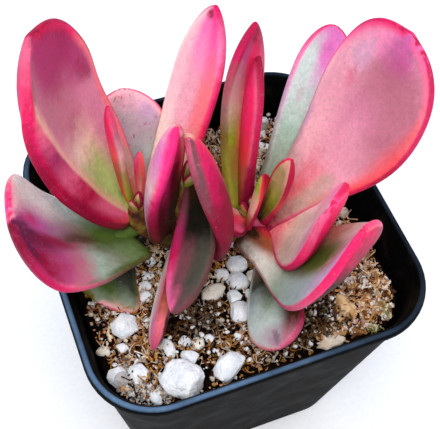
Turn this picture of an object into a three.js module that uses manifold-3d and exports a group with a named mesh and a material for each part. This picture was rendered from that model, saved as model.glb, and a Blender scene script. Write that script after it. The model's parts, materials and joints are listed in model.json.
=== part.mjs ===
// Potted crassula with pink-edged leaves, in a small square nursery pot. Millimetres, +Z up.
// The origin is on the floor under the middle of the pot. -Y is the pot's front side.
import * as THREE from 'three';
import { mergeVertices } from 'three/addons/utils/BufferGeometryUtils.js';
import Module from 'manifold-3d';

const wasm = await Module();
wasm.setup();

// Pot: thin moulded plastic, square with rounded corners, tapered, with a rolled lip.
const POT_HEIGHT = 66;
const RIM_WIDTH = 76;
const RIM_CORNER = 14.7;
const LIP_HEIGHT = 2.6;
const LIP_OVERHANG = 1.4;
const BASE_WIDTH = 54;
const BASE_CORNER = 9;
const WALL = 1;
const FLOOR = 1.4;
const DRAIN_DIAMETER = 8;
const DRAIN_OFFSET = 15;

// Potting mix: fills the pot to a little under the lip, lower towards the back.
const SOIL_TOP = 55.3;
const SOIL_FALL = 0.05;
const SHRED_COUNT = 26;
const GRIT_COUNT = 18;

// Clear space that neighbouring pieces keep.
const GAP = 0.3;

// Stem: a short trunk in the mix, which forks into three crowns. Points and radii along each limb.
const LIMBS = {
  trunk: [[-6, 4, 44, 3.2], [-6, 3.6, 52, 3.6], [-6.5, 3, 60, 3.8]],
  left: [[-6.5, 3.2, 56, 3.2], [-12.5, 4.2, 62, 3], [-17, 4.6, 68, 2.7], [-17.6, 4.6, 74, 1.6]],
  centre: [[-6.5, 3, 57, 3.4], [-7.6, 1.6, 66, 3], [-7.8, 1.2, 74, 2.7], [-7, 2, 81, 1.5]],
  right: [[-6, 2.6, 56, 3.2], [-0.6, -0.6, 62, 3], [3.6, -3.4, 68, 2.7], [4.2, -4.2, 74.5, 1.6]],
};

// Leaves, from the inner to the outer ones. at is the foot of the blade, heading its compass turn
// from +X towards +Y, rise its slope at the foot, curl and sweep how much slope and heading change
// on the way to the tip, and bow how early. roll turns the blade about its midrib, twist adds to it
// towards the tip, and cup is how far the sides bend up. wide is the place of the greatest width,
// neck and waist shape the narrow foot, and point shapes the tip. open is what the cup gains or
// loses towards the tip. fold bends down the strip beyond a crease: its slope, where the crease lies
// from 0 at the midrib to 1 at the margin, and from where to where it runs out. Angles are in degrees.
const LEAVES = [
  { name: 'leaf_right_bud_near', crown: 'right', at: [3.6, -7.2, 72.9], heading: 47, rise: 74,
    curl: 0, bow: 1.26, sweep: -19, length: 14.5, width: 6.6, roll: 100, twist: 8, cup: 49,
    open: 5, wide: 0.67, neck: 0.46, waist: 1.28, point: 0.6, thick: 1.6, colour: 0xb55a45 },
  { name: 'leaf_right_bud_far', crown: 'right', at: [6.7, -6.5, 72.8], heading: -7, rise: 68,
    curl: 18, bow: 0.76, sweep: -7, length: 21, width: 6.2, roll: 17, twist: 1, cup: 46,
    open: -4, wide: 0.61, neck: 0.49, waist: 1.2, point: 0.56, thick: 1.9, colour: 0xa8703f },
  { name: 'leaf_left_bud', crown: 'left', at: [-15.9, 5.8, 72.9], heading: 82, rise: 82, curl: 5,
    bow: 0.89, sweep: -8, length: 16, width: 3.6, roll: -58, twist: -9, cup: 32, open: -3,
    wide: 0.63, neck: 0.36, waist: 1.4, point: 0.55, thick: 1.6, colour: 0xc9484a },
  { name: 'leaf_left_inner', crown: 'left', at: [-17.8, 6.5, 72.4], heading: 121, rise: 70,
    curl: 12, bow: 0.74, sweep: -20, length: 27.5, width: 6.3, roll: 58, twist: 11, cup: 37,
    open: 3, wide: 0.65, neck: 0.33, waist: 1.31, point: 0.54, thick: 2.3, colour: 0xd14a55 },
  { name: 'leaf_centre_left', crown: 'centre', at: [-13.3, -0.2, 68.4], heading: 114, rise: 73,
    curl: 35, bow: 0.62, sweep: 18, length: 39, width: 11.6, roll: 2, twist: 13, cup: 59,
    open: 2, wide: 0.58, neck: 0.6, waist: 1.14, point: 0.69, thick: 3.6, colour: 0xb0477f },
  { name: 'leaf_centre_right', crown: 'centre', at: [-3.5, -6.4, 68.9], heading: -14, rise: 75,
    curl: 47, bow: 0.74, sweep: -25, length: 35.5, width: 19, roll: 12, twist: 19, cup: 44,
    open: -11, wide: 0.64, neck: 0.52, waist: 1.08, point: 0.6, thick: 3.6, colour: 0xa03a6c },
  { name: 'leaf_centre_front', crown: 'centre', at: [-5.9, 1.4, 81], heading: -103, rise: -1,
    curl: -28, bow: 0.99, sweep: -33, length: 28, width: 12, roll: 30, twist: 21, cup: 27,
    open: -51, wide: 0.66, neck: 0.39, waist: 1.44, point: 0.5, thick: 3.6, colour: 0x96566f },
  { name: 'leaf_right_edge', crown: 'right', at: [5.1, -2.4, 73.7], heading: 76, rise: 49,
    curl: 11, bow: 1.18, sweep: -20, length: 32, width: 13.8, roll: 86, twist: 12, cup: 21,
    open: 8, wide: 0.65, neck: 0.41, waist: 1.31, point: 0.7, thick: 3.4, colour: 0xc8304c },
  { name: 'leaf_centre_back', crown: 'centre', at: [-11.2, 6.8, 71.6], heading: 47, rise: 38,
    curl: 23, bow: 1.16, sweep: 1, length: 42.5, width: 14.3, roll: -25, twist: -10, cup: 19,
    open: -11, wide: 0.65, neck: 0.74, waist: 1.29, point: 0.59, thick: 3.6, colour: 0xde7f90 },
  { name: 'leaf_right_back', crown: 'right', at: [3.1, -1.4, 72.4], heading: 74, rise: 46,
    curl: 13, bow: 1.04, sweep: -21, length: 39.5, width: 14.4, roll: 50, twist: 19, cup: 4,
    open: -7, wide: 0.63, neck: 0.38, waist: 1.23, point: 0.7, thick: 3.4, colour: 0x9a5a66 },
  { name: 'leaf_right_paddle', crown: 'right', at: [8.1, -4.6, 70.4], heading: 3, rise: 38,
    curl: 43, bow: 1.08, sweep: 8, length: 53, width: 29, roll: -7, twist: 5, cup: 6, wide: 0.67,
    neck: 0.34, waist: 2.03, point: 0.38, thick: 4, colour: 0xd98d98 },
  { name: 'leaf_right_spoon', crown: 'right', at: [10.1, -5.7, 70.3], heading: -63, rise: 24,
    curl: 67, bow: 1.08, sweep: -19, length: 25, width: 22.5, roll: 17, twist: 12, cup: 11,
    open: -15, wide: 0.6, neck: 0.37, waist: 1.67, point: 0.37, thick: 3.8, colour: 0xcf8a90 },
  { name: 'leaf_left_tall', crown: 'left', at: [-17.9, 6.8, 69.1], heading: 145, rise: 43,
    curl: 45, bow: 0.64, sweep: 1, length: 52.5, width: 28.8, roll: 2, twist: -1, cup: 42,
    open: -18, wide: 0.63, neck: 0.32, waist: 0.7, point: 0.37, thick: 4.4,
    fold: [0.5, 0.5, 0.2, 0.95], colour: 0xc4587e },
  { name: 'leaf_left_wide', crown: 'left', at: [-20.2, 2.6, 65], heading: 191, rise: 28,
    curl: 33, bow: 1.19, sweep: -14, length: 33, width: 30.7, roll: 15, twist: -13, cup: 16,
    open: -8, wide: 0.73, neck: 0.53, waist: 1.47, point: 0.45, thick: 4, colour: 0xb9708a },
  { name: 'leaf_right_elbow', crown: 'right', at: [3.9, -6.1, 68.1], heading: -69, rise: 13,
    curl: 82, bow: 1.1, sweep: 1, length: 46.5, width: 23.3, roll: 17, twist: -11, cup: 7,
    open: -14, wide: 0.56, neck: 0.36, waist: 2.45, point: 0.57, thick: 4, colour: 0xc4909a },
  { name: 'leaf_right_behind', crown: 'right', at: [7.6, -2.7, 70.2], heading: 37, rise: 23,
    curl: 0, bow: 0.96, sweep: 16, length: 46, width: 14.6, roll: 15, twist: 17, cup: 27,
    open: -7, wide: 0.72, neck: 0.34, waist: 1.66, point: 0.48, thick: 3.6, colour: 0xa9b0a5 },
  { name: 'leaf_left_back', crown: 'left', at: [-15.4, 9.1, 66], heading: 82, rise: 40, curl: 8,
    bow: 1.05, sweep: 1, length: 26.5, width: 17.1, roll: 0, twist: -1, cup: 15, wide: 0.68,
    neck: 0.4, waist: 1.3, point: 0.53, thick: 3, colour: 0xb9a3ad },
  { name: 'leaf_right_low', crown: 'right', at: [8.2, -7.8, 62.3], heading: -107, rise: 12,
    curl: -8, bow: 0.88, sweep: 0, length: 26.5, width: 13, roll: 10, twist: 30, cup: 7,
    open: -5, wide: 0.78, neck: 0.33, waist: 1.54, point: 0.46, thick: 3.6, colour: 0x9fa59b },
  { name: 'leaf_left_low', crown: 'left', at: [-19.7, 1.4, 61.8], heading: -154, rise: -16,
    curl: 11, bow: 1, sweep: 19, length: 14, width: 18.5, roll: -21, twist: -7, cup: 4,
    open: -28, wide: 0.76, neck: 0.2, waist: 2.02, point: 0.4, thick: 3.5, colour: 0x93a08a },
  { name: 'leaf_centre_low', crown: 'centre', at: [-11.1, -3.3, 68], heading: -124, rise: -16,
    curl: -4, bow: 1, sweep: 3, length: 23.5, width: 8.2, roll: 69, twist: 3, cup: 18, open: 2,
    wide: 0.65, neck: 0.4, waist: 1.3, point: 0.6, thick: 3, colour: 0xd07080 },
  { name: 'leaf_right_stub', crown: 'right', at: [4, -5, 71.5], heading: -163, rise: 38, curl: 2,
    bow: 1, sweep: -3, length: 9.5, width: 8, roll: -9, twist: -5, cup: 20, wide: 0.64,
    neck: 0.41, waist: 1.2, point: 0.5, thick: 2.6, colour: 0xd3607a },
];

// Stones that lie on the mix: x, y, length, width, height, turn in degrees, colour.
const PUMICE = 0xe9eaee;
const TAN = 0xc9a98a;
const STONES = [
  { name: 'stone_big', x: -19.1, y: -29.5, size: [9.3, 9.2, 7.2], turn: -21, colour: PUMICE },
  { name: 'stone_long', x: -9.1, y: -30.2, size: [10.4, 5, 5], turn: 32, colour: PUMICE },
  { name: 'stone_left_near', x: -26.4, y: -13.3, size: [6.5, 6.1, 4.6], turn: -44, colour: PUMICE },
  { name: 'stone_corner', x: -31.6, y: -24.2, size: [5.4, 4.3, 3.3], turn: -61, colour: PUMICE },
  { name: 'stone_soft', x: -27, y: -24.9, size: [4.2, 5, 3.3], turn: -21, colour: PUMICE },
  { name: 'stone_left_edge', x: -32.5, y: -17.2, size: [3.6, 2.6, 2.1], turn: -27, colour: PUMICE },
  { name: 'stone_crown', x: 2.3, y: -6.6, size: [4.8, 4.8, 3.9], turn: -21, colour: PUMICE },
  { name: 'stone_mid_left', x: -1.9, y: -7.9, size: [3.6, 3.4, 2.7], turn: -21, colour: PUMICE },
  { name: 'stone_mid', x: 0.8, y: -10.9, size: [5, 4.4, 3.5], turn: -21, colour: PUMICE },
  { name: 'stone_cream', x: -5.6, y: -11.9, size: [6.3, 4.1, 3.4], turn: 22, colour: 0xe2dfd3 },
  { name: 'stone_spotted', x: -1.6, y: -18.6, size: [5.9, 5.3, 4], turn: -61, colour: PUMICE },
  { name: 'stone_tan', x: 21, y: -24.9, size: [7.7, 4.3, 3.2], turn: -78, colour: TAN },
  { name: 'stone_pale_tan', x: 13.8, y: -32.2, size: [7.4, 3.4, 2.6], turn: 2, colour: 0xd9c9b4 },
  { name: 'stone_front', x: -15.7, y: -24.8, size: [4.3, 2.9, 2.3], turn: -42, colour: PUMICE },
  { name: 'stone_upright', x: -19.4, y: -21.4, size: [4.7, 2.8, 2.4], turn: -92, colour: PUMICE },
  { name: 'stone_left_inner', x: -20, y: -7.4, size: [3.6, 3.1, 2.5], turn: -21, colour: PUMICE },
  { name: 'stone_row_left', x: -15.7, y: -21, size: [2.8, 2.8, 2.3], turn: -21, colour: PUMICE },
  { name: 'stone_row_mid', x: -13, y: -22.4, size: [3.2, 3.2, 2.6], turn: -44, colour: 0xe2dfd3 },
  { name: 'stone_row_right', x: -10.4, y: -22.2, size: [2.4, 2, 1.6], turn: -44, colour: PUMICE },
  { name: 'stone_by_lip', x: -25.6, y: -31.2, size: [3.7, 2.1, 1.8], turn: -64, colour: PUMICE },
  { name: 'stone_left_gap', x: -28.5, y: -17.8, size: [2.8, 2.4, 2], turn: -61, colour: PUMICE },
  { name: 'stone_shaded', x: 4.1, y: -11, size: [2.9, 3.4, 2.3], turn: -21, colour: 0xe2dfd3 },
  { name: 'stone_low_mid', x: -1.6, y: -14.8, size: [3.8, 3.7, 3], turn: -21, colour: PUMICE },
  { name: 'stone_low_right', x: 1.7, y: -15.1, size: [1.8, 3, 1.5], turn: -21, colour: PUMICE },
  { name: 'stone_inner_low', x: -18.8, y: -4.9, size: [2.7, 2.6, 2.1], turn: -21, colour: PUMICE },
  { name: 'stone_inner_high', x: -17.8, y: -3.1, size: [2.9, 2.1, 1.7], turn: -21, colour: PUMICE },
  { name: 'stone_inner_top', x: -15.9, y: 0.5, size: [2.5, 2.4, 1.9], turn: 13, colour: PUMICE },
  { name: 'stone_tail', x: -4.1, y: -23.6, size: [2.2, 2.2, 1.7], turn: 24, colour: PUMICE },
  { name: 'stone_back_round', x: 31.6, y: -1.5, size: [3.1, 3.2, 2.6], turn: -21, colour: 0xe2dfd3 },
];

function randomFrom(seed) {
  let state = seed;
  return () => {
    state = (state + 0x6d2b79f5) | 0;
    let t = Math.imul(state ^ (state >>> 15), 1 | state);
    t = (t + Math.imul(t ^ (t >>> 7), 61 | t)) ^ t;
    return ((t ^ (t >>> 14)) >>> 0) / 4294967296;
  };
}

// Closed skin through equal rings of points, with a middle point at each end.
function loft(rings, first, last) {
  const count = rings[0].length;
  const points = [first, ...rings.flat(), last];
  const end = points.length - 1;
  const faces = [];
  for (let j = 0; j < count; j++) {
    const k = (j + 1) % count;
    faces.push(0, 1 + k, 1 + j);
    faces.push(end, end - count + j, end - count + k);
  }
  for (let i = 0; i < rings.length - 1; i++) {
    for (let j = 0; j < count; j++) {
      const k = (j + 1) % count;
      const a = 1 + i * count;
      const b = a + count;
      faces.push(a + j, a + k, b + k);
      faces.push(a + j, b + k, b + j);
    }
  }
  const geometry = new THREE.BufferGeometry().setFromPoints(points);
  geometry.setIndex(faces);
  return geometry;
}

function volumeOf(geometry) {
  const p = geometry.attributes.position;
  const index = geometry.index.array;
  const [a, b, c] = [new THREE.Vector3(), new THREE.Vector3(), new THREE.Vector3()];
  let sum = 0;
  for (let i = 0; i < index.length; i += 3) {
    a.fromBufferAttribute(p, index[i]);
    b.fromBufferAttribute(p, index[i + 1]);
    c.fromBufferAttribute(p, index[i + 2]);
    sum += a.dot(b.cross(c)) / 6;
  }
  return sum;
}

function solid(source) {
  const bare = source.clone();
  bare.deleteAttribute('normal');
  bare.deleteAttribute('uv');
  const merged = mergeVertices(bare, 1e-5);
  const tri = Uint32Array.from(merged.index.array);
  if (volumeOf(merged) < 0) {
    for (let i = 0; i < tri.length; i += 3) {
      [tri[i], tri[i + 1]] = [tri[i + 1], tri[i]];
    }
  }
  const vertProperties = Float32Array.from(merged.attributes.position.array);
  return new wasm.Manifold(new wasm.Mesh({ numProp: 3, vertProperties, triVerts: tri }));
}

function skin(body) {
  const mesh = body.getMesh();
  const geometry = new THREE.BufferGeometry();
  geometry.setAttribute('position', new THREE.BufferAttribute(Float32Array.from(mesh.vertProperties), 3));
  geometry.setIndex(Array.from(mesh.triVerts));
  return geometry;
}

// The largest of the separate pieces that a cut leaves.
function largest(body) {
  const pieces = body.decompose();
  let best = pieces[0];
  for (const piece of pieces) {
    if (piece.volume() > best.volume()) {
      best = piece;
    }
  }
  return best;
}

function roundedSquare(half, corner, z) {
  const ring = [];
  const steps = 7;
  for (let q = 0; q < 4; q++) {
    for (let i = 0; i <= steps; i++) {
      const turn = (q + i / steps) * Math.PI / 2;
      const cx = (half - corner) * (q === 0 || q === 3 ? 1 : -1);
      const cy = (half - corner) * (q < 2 ? 1 : -1);
      ring.push(new THREE.Vector3(cx + corner * Math.cos(turn), cy + corner * Math.sin(turn), z));
    }
  }
  return ring;
}

// Pot
const bodyTop = POT_HEIGHT - LIP_HEIGHT;
const rimHalf = RIM_WIDTH / 2;
const bodyHalf = rimHalf - LIP_OVERHANG;
const baseHalf = BASE_WIDTH / 2;
const wallHalf = (z) => baseHalf + (bodyHalf - baseHalf) * z / bodyTop;
const wallCorner = (z) => BASE_CORNER + (RIM_CORNER - LIP_OVERHANG - BASE_CORNER) * z / bodyTop;
const insideRing = (z, inset) => roundedSquare(wallHalf(z) - inset, wallCorner(z) - inset * 0.6, z);

function makePot() {
  const rings = [];
  rings.push(roundedSquare(baseHalf - 1.2, BASE_CORNER - 1, 0));
  rings.push(roundedSquare(baseHalf - 0.3, BASE_CORNER - 0.2, 0.4));
  rings.push(roundedSquare(wallHalf(1.5), wallCorner(1.5), 1.5));
  rings.push(roundedSquare(wallHalf(32), wallCorner(32), 32));
  rings.push(roundedSquare(bodyHalf, RIM_CORNER - LIP_OVERHANG, bodyTop));
  rings.push(roundedSquare(rimHalf - 0.3, RIM_CORNER - 0.2, bodyTop + 0.1));
  rings.push(roundedSquare(rimHalf, RIM_CORNER, bodyTop + 0.6));
  rings.push(roundedSquare(rimHalf, RIM_CORNER, POT_HEIGHT - 0.9));
  rings.push(roundedSquare(rimHalf - 0.3, RIM_CORNER - 0.3, POT_HEIGHT - 0.2));
  rings.push(roundedSquare(rimHalf - 0.8, RIM_CORNER - 0.7, POT_HEIGHT));
  rings.push(roundedSquare(rimHalf - 1.4, RIM_CORNER - 1.2, POT_HEIGHT - 0.3));
  rings.push(insideRing(bodyTop, WALL));
  rings.push(insideRing(32, WALL));
  rings.push(insideRing(FLOOR + 1.2, WALL));
  rings.push(insideRing(FLOOR, WALL + 1.2));
  const shell = solid(loft(rings, new THREE.Vector3(0, 0, 0), new THREE.Vector3(0, 0, FLOOR)));
  let pot = shell;
  for (const sx of [-1, 1]) {
    for (const sy of [-1, 1]) {
      const drain = new THREE.CylinderGeometry(DRAIN_DIAMETER / 2, DRAIN_DIAMETER / 2, 6, 20);
      drain.rotateX(Math.PI / 2);
      drain.translate(sx * DRAIN_OFFSET, sy * DRAIN_OFFSET, 0);
      pot = pot.subtract(solid(drain));
    }
  }
  return pot;
}

// Height of the mix, with low mounds.
function soilHeight(x, y) {
  const mounds = 0.55 * Math.sin(0.31 * x + 1.1) * Math.cos(0.36 * y) + 0.35 * Math.sin(0.83 * x + 0.7 * y);
  return SOIL_TOP - SOIL_FALL * y + mounds;
}

function makeSoil() {
  const inset = WALL + GAP;
  const rings = [];
  rings.push(insideRing(FLOOR + GAP + 0.1, inset + 1.4));
  rings.push(insideRing(FLOOR + 1.6, inset));
  rings.push(insideRing(30, inset));
  const rim = insideRing(SOIL_TOP - 2.5, inset);
  rings.push(rim);
  for (const share of [1, 0.86, 0.7, 0.54, 0.38, 0.2]) {
    rings.push(rim.map((p) => {
      const x = p.x * share;
      const y = p.y * share;
      return new THREE.Vector3(x, y, soilHeight(x, y));
    }));
  }
  const bottom = new THREE.Vector3(0, 0, FLOOR + GAP + 0.1);
  const top = new THREE.Vector3(0, 0, soilHeight(0, 0));
  let soil = solid(loft(rings, bottom, top));
  const random = randomFrom(7);
  const bits = [];
  const reach = wallHalf(SOIL_TOP) - inset - 3.2;
  for (let i = 0; i < SHRED_COUNT + GRIT_COUNT; i++) {
    const x = (random() * 2 - 1) * reach;
    const y = (random() * 2 - 1) * reach;
    if (Math.hypot(x, y) > reach * 1.22) {
      continue;
    }
    const z = soilHeight(x, y);
    if (i < SHRED_COUNT) {
      const shred = new THREE.BoxGeometry(2.5 + 3 * random(), 0.8 + 0.5 * random(), 0.7);
      shred.rotateX(random() * 1.2 - 0.6);
      shred.rotateY(random() * 0.8 - 0.4);
      shred.rotateZ(random() * Math.PI);
      shred.translate(x, y, z + 0.1);
      bits.push(solid(shred));
    } else {
      const r = 0.7 + 0.7 * random();
      const grit = new THREE.OctahedronGeometry(r, 0);
      grit.scale(1, 0.8 + 0.3 * random(), 0.8);
      grit.rotateX(random() * 3);
      grit.rotateZ(random() * 3);
      grit.translate(x, y, z + 0.3 * r);
      bits.push(solid(grit));
    }
  }
  soil = wasm.Manifold.union([soil, ...bits]);
  return soil;
}

// A round limb along points with their own radii, with blunt ends.
function limb(points, grow) {
  const sides = 8;
  const path = points.map((p) => new THREE.Vector3(p[0], p[1], p[2]));
  const rings = path.map((p, i) => {
    const ahead = path[Math.min(i + 1, path.length - 1)];
    const behind = path[Math.max(i - 1, 0)];
    const along = ahead.clone().sub(behind).normalize();
    const across = new THREE.Vector3(1, 0, 0).cross(along).normalize();
    const up = along.clone().cross(across);
    const r = points[i][3] + grow;
    const ring = [];
    for (let j = 0; j < sides; j++) {
      const t = j / sides * 2 * Math.PI;
      ring.push(p.clone().addScaledVector(across, r * Math.cos(t)).addScaledVector(up, r * Math.sin(t)));
    }
    return ring;
  });
  const out = new THREE.Vector3(0, 0, 0.3 + grow);
  return solid(loft(rings, path[0].clone().sub(out), path[path.length - 1].clone().add(out)));
}

// Point of a crown's limb that is nearest to a place.
function nearestOn(points, place) {
  const path = new THREE.CatmullRomCurve3(points.map((p) => new THREE.Vector3(p[0], p[1], p[2])));
  let best = path.getPoint(0);
  for (let i = 0; i <= 60; i++) {
    const p = path.getPoint(i / 60);
    if (p.distanceTo(place) < best.distanceTo(place)) {
      best = p;
    }
  }
  return best;
}

// One leaf: a blade lofted along its midrib, thick in the middle, rounded at the margins and
// bent up at the sides, and a short foot that reaches the stem.
const BELOW = 5;
const ABOVE = 7;
const AROUND = 10;
function bladeWidth(leaf, u) {
  if (u < leaf.wide) {
    const s = Math.sin(Math.PI / 2 * u / leaf.wide);
    return leaf.neck + (1 - leaf.neck) * s ** leaf.waist;
  }
  const c = Math.cos(Math.PI / 2 * (u - leaf.wide) / (1 - leaf.wide));
  return Math.max(c, 0) ** leaf.point;
}

function makeLeaf(leaf, grow, below = BELOW, above = ABOVE, around = AROUND) {
  const rad = THREE.MathUtils.degToRad;
  const foot = new THREE.Vector3(...leaf.at);
  const steps = 200;
  const slope = (u) => rad(leaf.rise + leaf.curl * u ** leaf.bow);
  const compass = (u) => rad(leaf.heading + leaf.sweep * u);
  const along = (u) => {
    const e = slope(u);
    const h = compass(u);
    return new THREE.Vector3(Math.cos(e) * Math.cos(h), Math.cos(e) * Math.sin(h), Math.sin(e));
  };
  const midrib = [foot.clone()];
  for (let i = 1; i <= steps; i++) {
    const last = midrib[i - 1].clone();
    midrib.push(last.addScaledVector(along((i - 0.5) / steps), leaf.length / steps));
  }
  const rings = [];
  for (let i = 0; i <= below + above; i++) {
    const late = Math.max(0, 1 - (1 - (i - below) / above) ** 2);
    const u = i < below ? leaf.wide * i / below : leaf.wide + (1 - leaf.wide) * late;
    const at = midrib[Math.round(u * steps)].clone();
    const e = slope(u);
    const h = compass(u);
    const roll = rad(leaf.roll + leaf.twist * u);
    const level = new THREE.Vector3(-Math.sin(h), Math.cos(h), 0);
    const over = new THREE.Vector3(-Math.sin(e) * Math.cos(h), -Math.sin(e) * Math.sin(h), Math.cos(e));
    const side = level.clone().multiplyScalar(Math.cos(roll)).addScaledVector(over, Math.sin(roll));
    const up = over.clone().multiplyScalar(Math.cos(roll)).addScaledVector(level, -Math.sin(roll));
    const half = leaf.width / 2 * bladeWidth(leaf, Math.min(u, 0.9985)) + grow;
    const thick = Math.min(leaf.thick * (1 - 0.75 * late ** 4), half * 1.3 + 0.3) + 2 * grow;
    const bend = rad(Math.max(leaf.cup + (leaf.open ?? 0) * u, 0.5));
    const [slant, from, starts, ends] = leaf.fold ?? [0, 1, 0, 1];
    const run = THREE.MathUtils.clamp((u - starts) / (ends - starts), 0, 1);
    const crease = from + (1 - from) * run * run;
    const radius = half / bend;
    const ring = [];
    for (let j = 0; j < around; j++) {
      const t = j / around * 2 * Math.PI;
      const s = Math.sign(Math.cos(t)) * Math.abs(Math.cos(t)) ** 0.85;
      const lift = Math.sign(Math.sin(t)) * Math.abs(Math.sin(t)) ** 0.8 * (Math.sin(t) > 0 ? 0.4 : 0.6);
      const turn = bend * s;
      const x = (radius - thick * lift) * Math.sin(turn);
      const drop = slant * half * Math.max(0, s - crease);
      const z = radius * (1 - Math.cos(turn)) + thick * lift * Math.cos(turn) - drop;
      ring.push(at.clone().addScaledVector(side, x).addScaledVector(up, z));
    }
    rings.push(ring);
  }
  const first = midrib[0].clone().addScaledVector(along(0), -grow - 0.2);
  const last = midrib[steps].clone().addScaledVector(along(1), grow + 0.1);
  const blade = solid(loft(rings, first, last));
  const root = nearestOn(LIMBS[leaf.crown], foot);
  const inside = midrib[Math.round(steps * 0.1)];
  const r = Math.min(leaf.thick * 0.42, leaf.width * leaf.neck * 0.4);
  if (root.distanceTo(foot) < 2) {
    return blade;
  }
  return blade.add(limb([[root.x, root.y, root.z - 0.5, r], [inside.x, inside.y, inside.z, r]], grow));
}

// Growing tips: a pair of tiny upright leaves at the top of each crown.
function makeTips(grow) {
  const parts = [];
  for (const [crown, turn, length] of [['left', 35, 5], ['centre', 80, 7], ['right', 20, 5]]) {
    const top = LIMBS[crown][LIMBS[crown].length - 1];
    for (const side of [0, 180]) {
      const tiny = {
        crown, at: [top[0], top[1], top[2] - 2], heading: turn + side, rise: 74,
        curl: 8, bow: 1, sweep: 0, length: length + 1, width: 2.4, roll: 0, twist: 0, cup: 35,
        wide: 0.5, neck: 0.6, waist: 1.2, point: 0.7, thick: 1.1,
      };
      parts.push(makeLeaf(tiny, grow, 3, 4, 8));
    }
  }
  return parts;
}

function makeStem(grow) {
  const limbs = Object.values(LIMBS).map((points) => limb(points, grow));
  return wasm.Manifold.union([...limbs, ...makeTips(grow)]);
}

// One crushed stone, its lower third in the mix.
function makeStone(stone, seed, grow) {
  const random = randomFrom(100 + seed);
  let shape = new THREE.IcosahedronGeometry(1, 1);
  shape.deleteAttribute('normal');
  shape.deleteAttribute('uv');
  shape = mergeVertices(shape, 1e-4);
  const p = shape.attributes.position;
  for (let i = 0; i < p.count; i++) {
    const k = 0.88 + 0.2 * random();
    p.setXYZ(i, p.getX(i) * k, p.getY(i) * k, p.getZ(i) * k);
  }
  const [length, width, height] = stone.size;
  shape.scale(length / 2 + grow, width / 2 + grow, height / 2 + grow);
  shape.rotateZ(THREE.MathUtils.degToRad(stone.turn));
  shape.translate(stone.x, stone.y, soilHeight(stone.x, stone.y) + height * 0.22);
  return solid(shape);
}

function meets(a, b) {
  const [p, q] = [a.boundingBox(), b.boundingBox()];
  return [0, 1, 2].every((k) => p.min[k] < q.max[k] && q.min[k] < p.max[k]);
}

const group = new THREE.Group();
const room = [];

function place(name, body, colour, roughness) {
  const material = new THREE.MeshStandardMaterial({ color: colour, roughness, metalness: 0 });
  const mesh = new THREE.Mesh(skin(body), material);
  mesh.name = name;
  group.add(mesh);
}

// What is already there, with its clear space, is cut from what comes next.
function cutClear(body) {
  let rest = body;
  for (const other of room) {
    if (meets(rest, other)) {
      rest = rest.subtract(other);
    }
  }
  return largest(rest);
}

place('stem', makeStem(0), 0x8a7a4a, 0.7);
room.push(makeStem(GAP));
for (const leaf of LEAVES) {
  place(leaf.name, cutClear(makeLeaf(leaf, 0)), leaf.colour, 0.5);
  room.push(makeLeaf(leaf, GAP));
}
STONES.forEach((stone, i) => {
  place(stone.name, cutClear(makeStone(stone, i, 0)), stone.colour, 0.9);
  room.push(makeStone(stone, i, GAP));
});
place('soil', cutClear(makeSoil()), 0x5a3d29, 0.95);
place('pot', makePot(), 0x1d2024, 0.45);

export default group;
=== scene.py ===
import json
import math
import random

import bmesh
import bpy
from mathutils import Matrix, Vector, noise

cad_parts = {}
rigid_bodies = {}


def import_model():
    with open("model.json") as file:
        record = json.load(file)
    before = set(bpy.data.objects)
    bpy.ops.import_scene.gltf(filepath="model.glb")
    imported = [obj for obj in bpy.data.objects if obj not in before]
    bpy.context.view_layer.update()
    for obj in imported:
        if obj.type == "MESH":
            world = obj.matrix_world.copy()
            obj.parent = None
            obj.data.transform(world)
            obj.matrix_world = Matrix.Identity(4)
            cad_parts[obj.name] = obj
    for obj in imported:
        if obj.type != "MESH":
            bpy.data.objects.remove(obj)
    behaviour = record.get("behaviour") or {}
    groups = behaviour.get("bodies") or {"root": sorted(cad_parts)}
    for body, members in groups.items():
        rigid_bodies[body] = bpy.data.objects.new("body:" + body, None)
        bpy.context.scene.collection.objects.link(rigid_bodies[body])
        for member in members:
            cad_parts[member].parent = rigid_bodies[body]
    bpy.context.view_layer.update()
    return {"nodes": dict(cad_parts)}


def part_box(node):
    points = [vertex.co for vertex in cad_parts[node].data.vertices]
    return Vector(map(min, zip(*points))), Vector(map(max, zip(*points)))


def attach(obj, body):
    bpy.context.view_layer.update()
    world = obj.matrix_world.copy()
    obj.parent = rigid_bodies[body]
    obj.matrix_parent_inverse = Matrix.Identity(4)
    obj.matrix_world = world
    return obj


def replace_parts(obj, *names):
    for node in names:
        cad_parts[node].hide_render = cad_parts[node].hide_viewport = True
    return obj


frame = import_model()
scene = bpy.context.scene


# The view: from the front left, well above the rim, looking down into the pot.
# The camera stands 20 cm from the crowns and takes in the rim and every leaf.
CAMERA_PLACE = (-0.046838, -0.097402, 0.235439)
SENSOR_WIDTH = 36
FOCAL_LENGTH = 74.2
NEAREST = 0.01


def put(name, data):
    """A new object in the scene, at the origin."""
    made = bpy.data.objects.new(name, data)
    scene.collection.objects.link(made)
    return made


camera = put("camera", bpy.data.cameras.new("camera"))
camera.data.sensor_fit = "HORIZONTAL"
camera.data.sensor_width = SENSOR_WIDTH
camera.data.lens = FOCAL_LENGTH
camera.data.clip_start = NEAREST
view_right = Vector((0.93190, -0.35894, 0.05214)).normalized()
view_up = Vector((0.27578, 0.79458, 0.54091)).normalized()
turned = Matrix((view_right, view_up, view_right.cross(view_up))).transposed().to_4x4()
camera.matrix_world = Matrix.Translation(CAMERA_PLACE) @ turned
scene.camera = camera
scene.view_settings.view_transform = "Standard"


# The floor: a plain pale studio sheet, matt, that the pot stands on.
# It isn't part of the object.
def rgb(code):
    """An sRGB hex colour as linear red, green, blue and 1."""
    parts = [int(code[i : i + 2], 16) / 255 for i in (1, 3, 5)]
    return [c / 12.92 if c <= 0.04045 else ((c + 0.055) / 1.055) ** 2.4 for c in parts] + [1]


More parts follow.
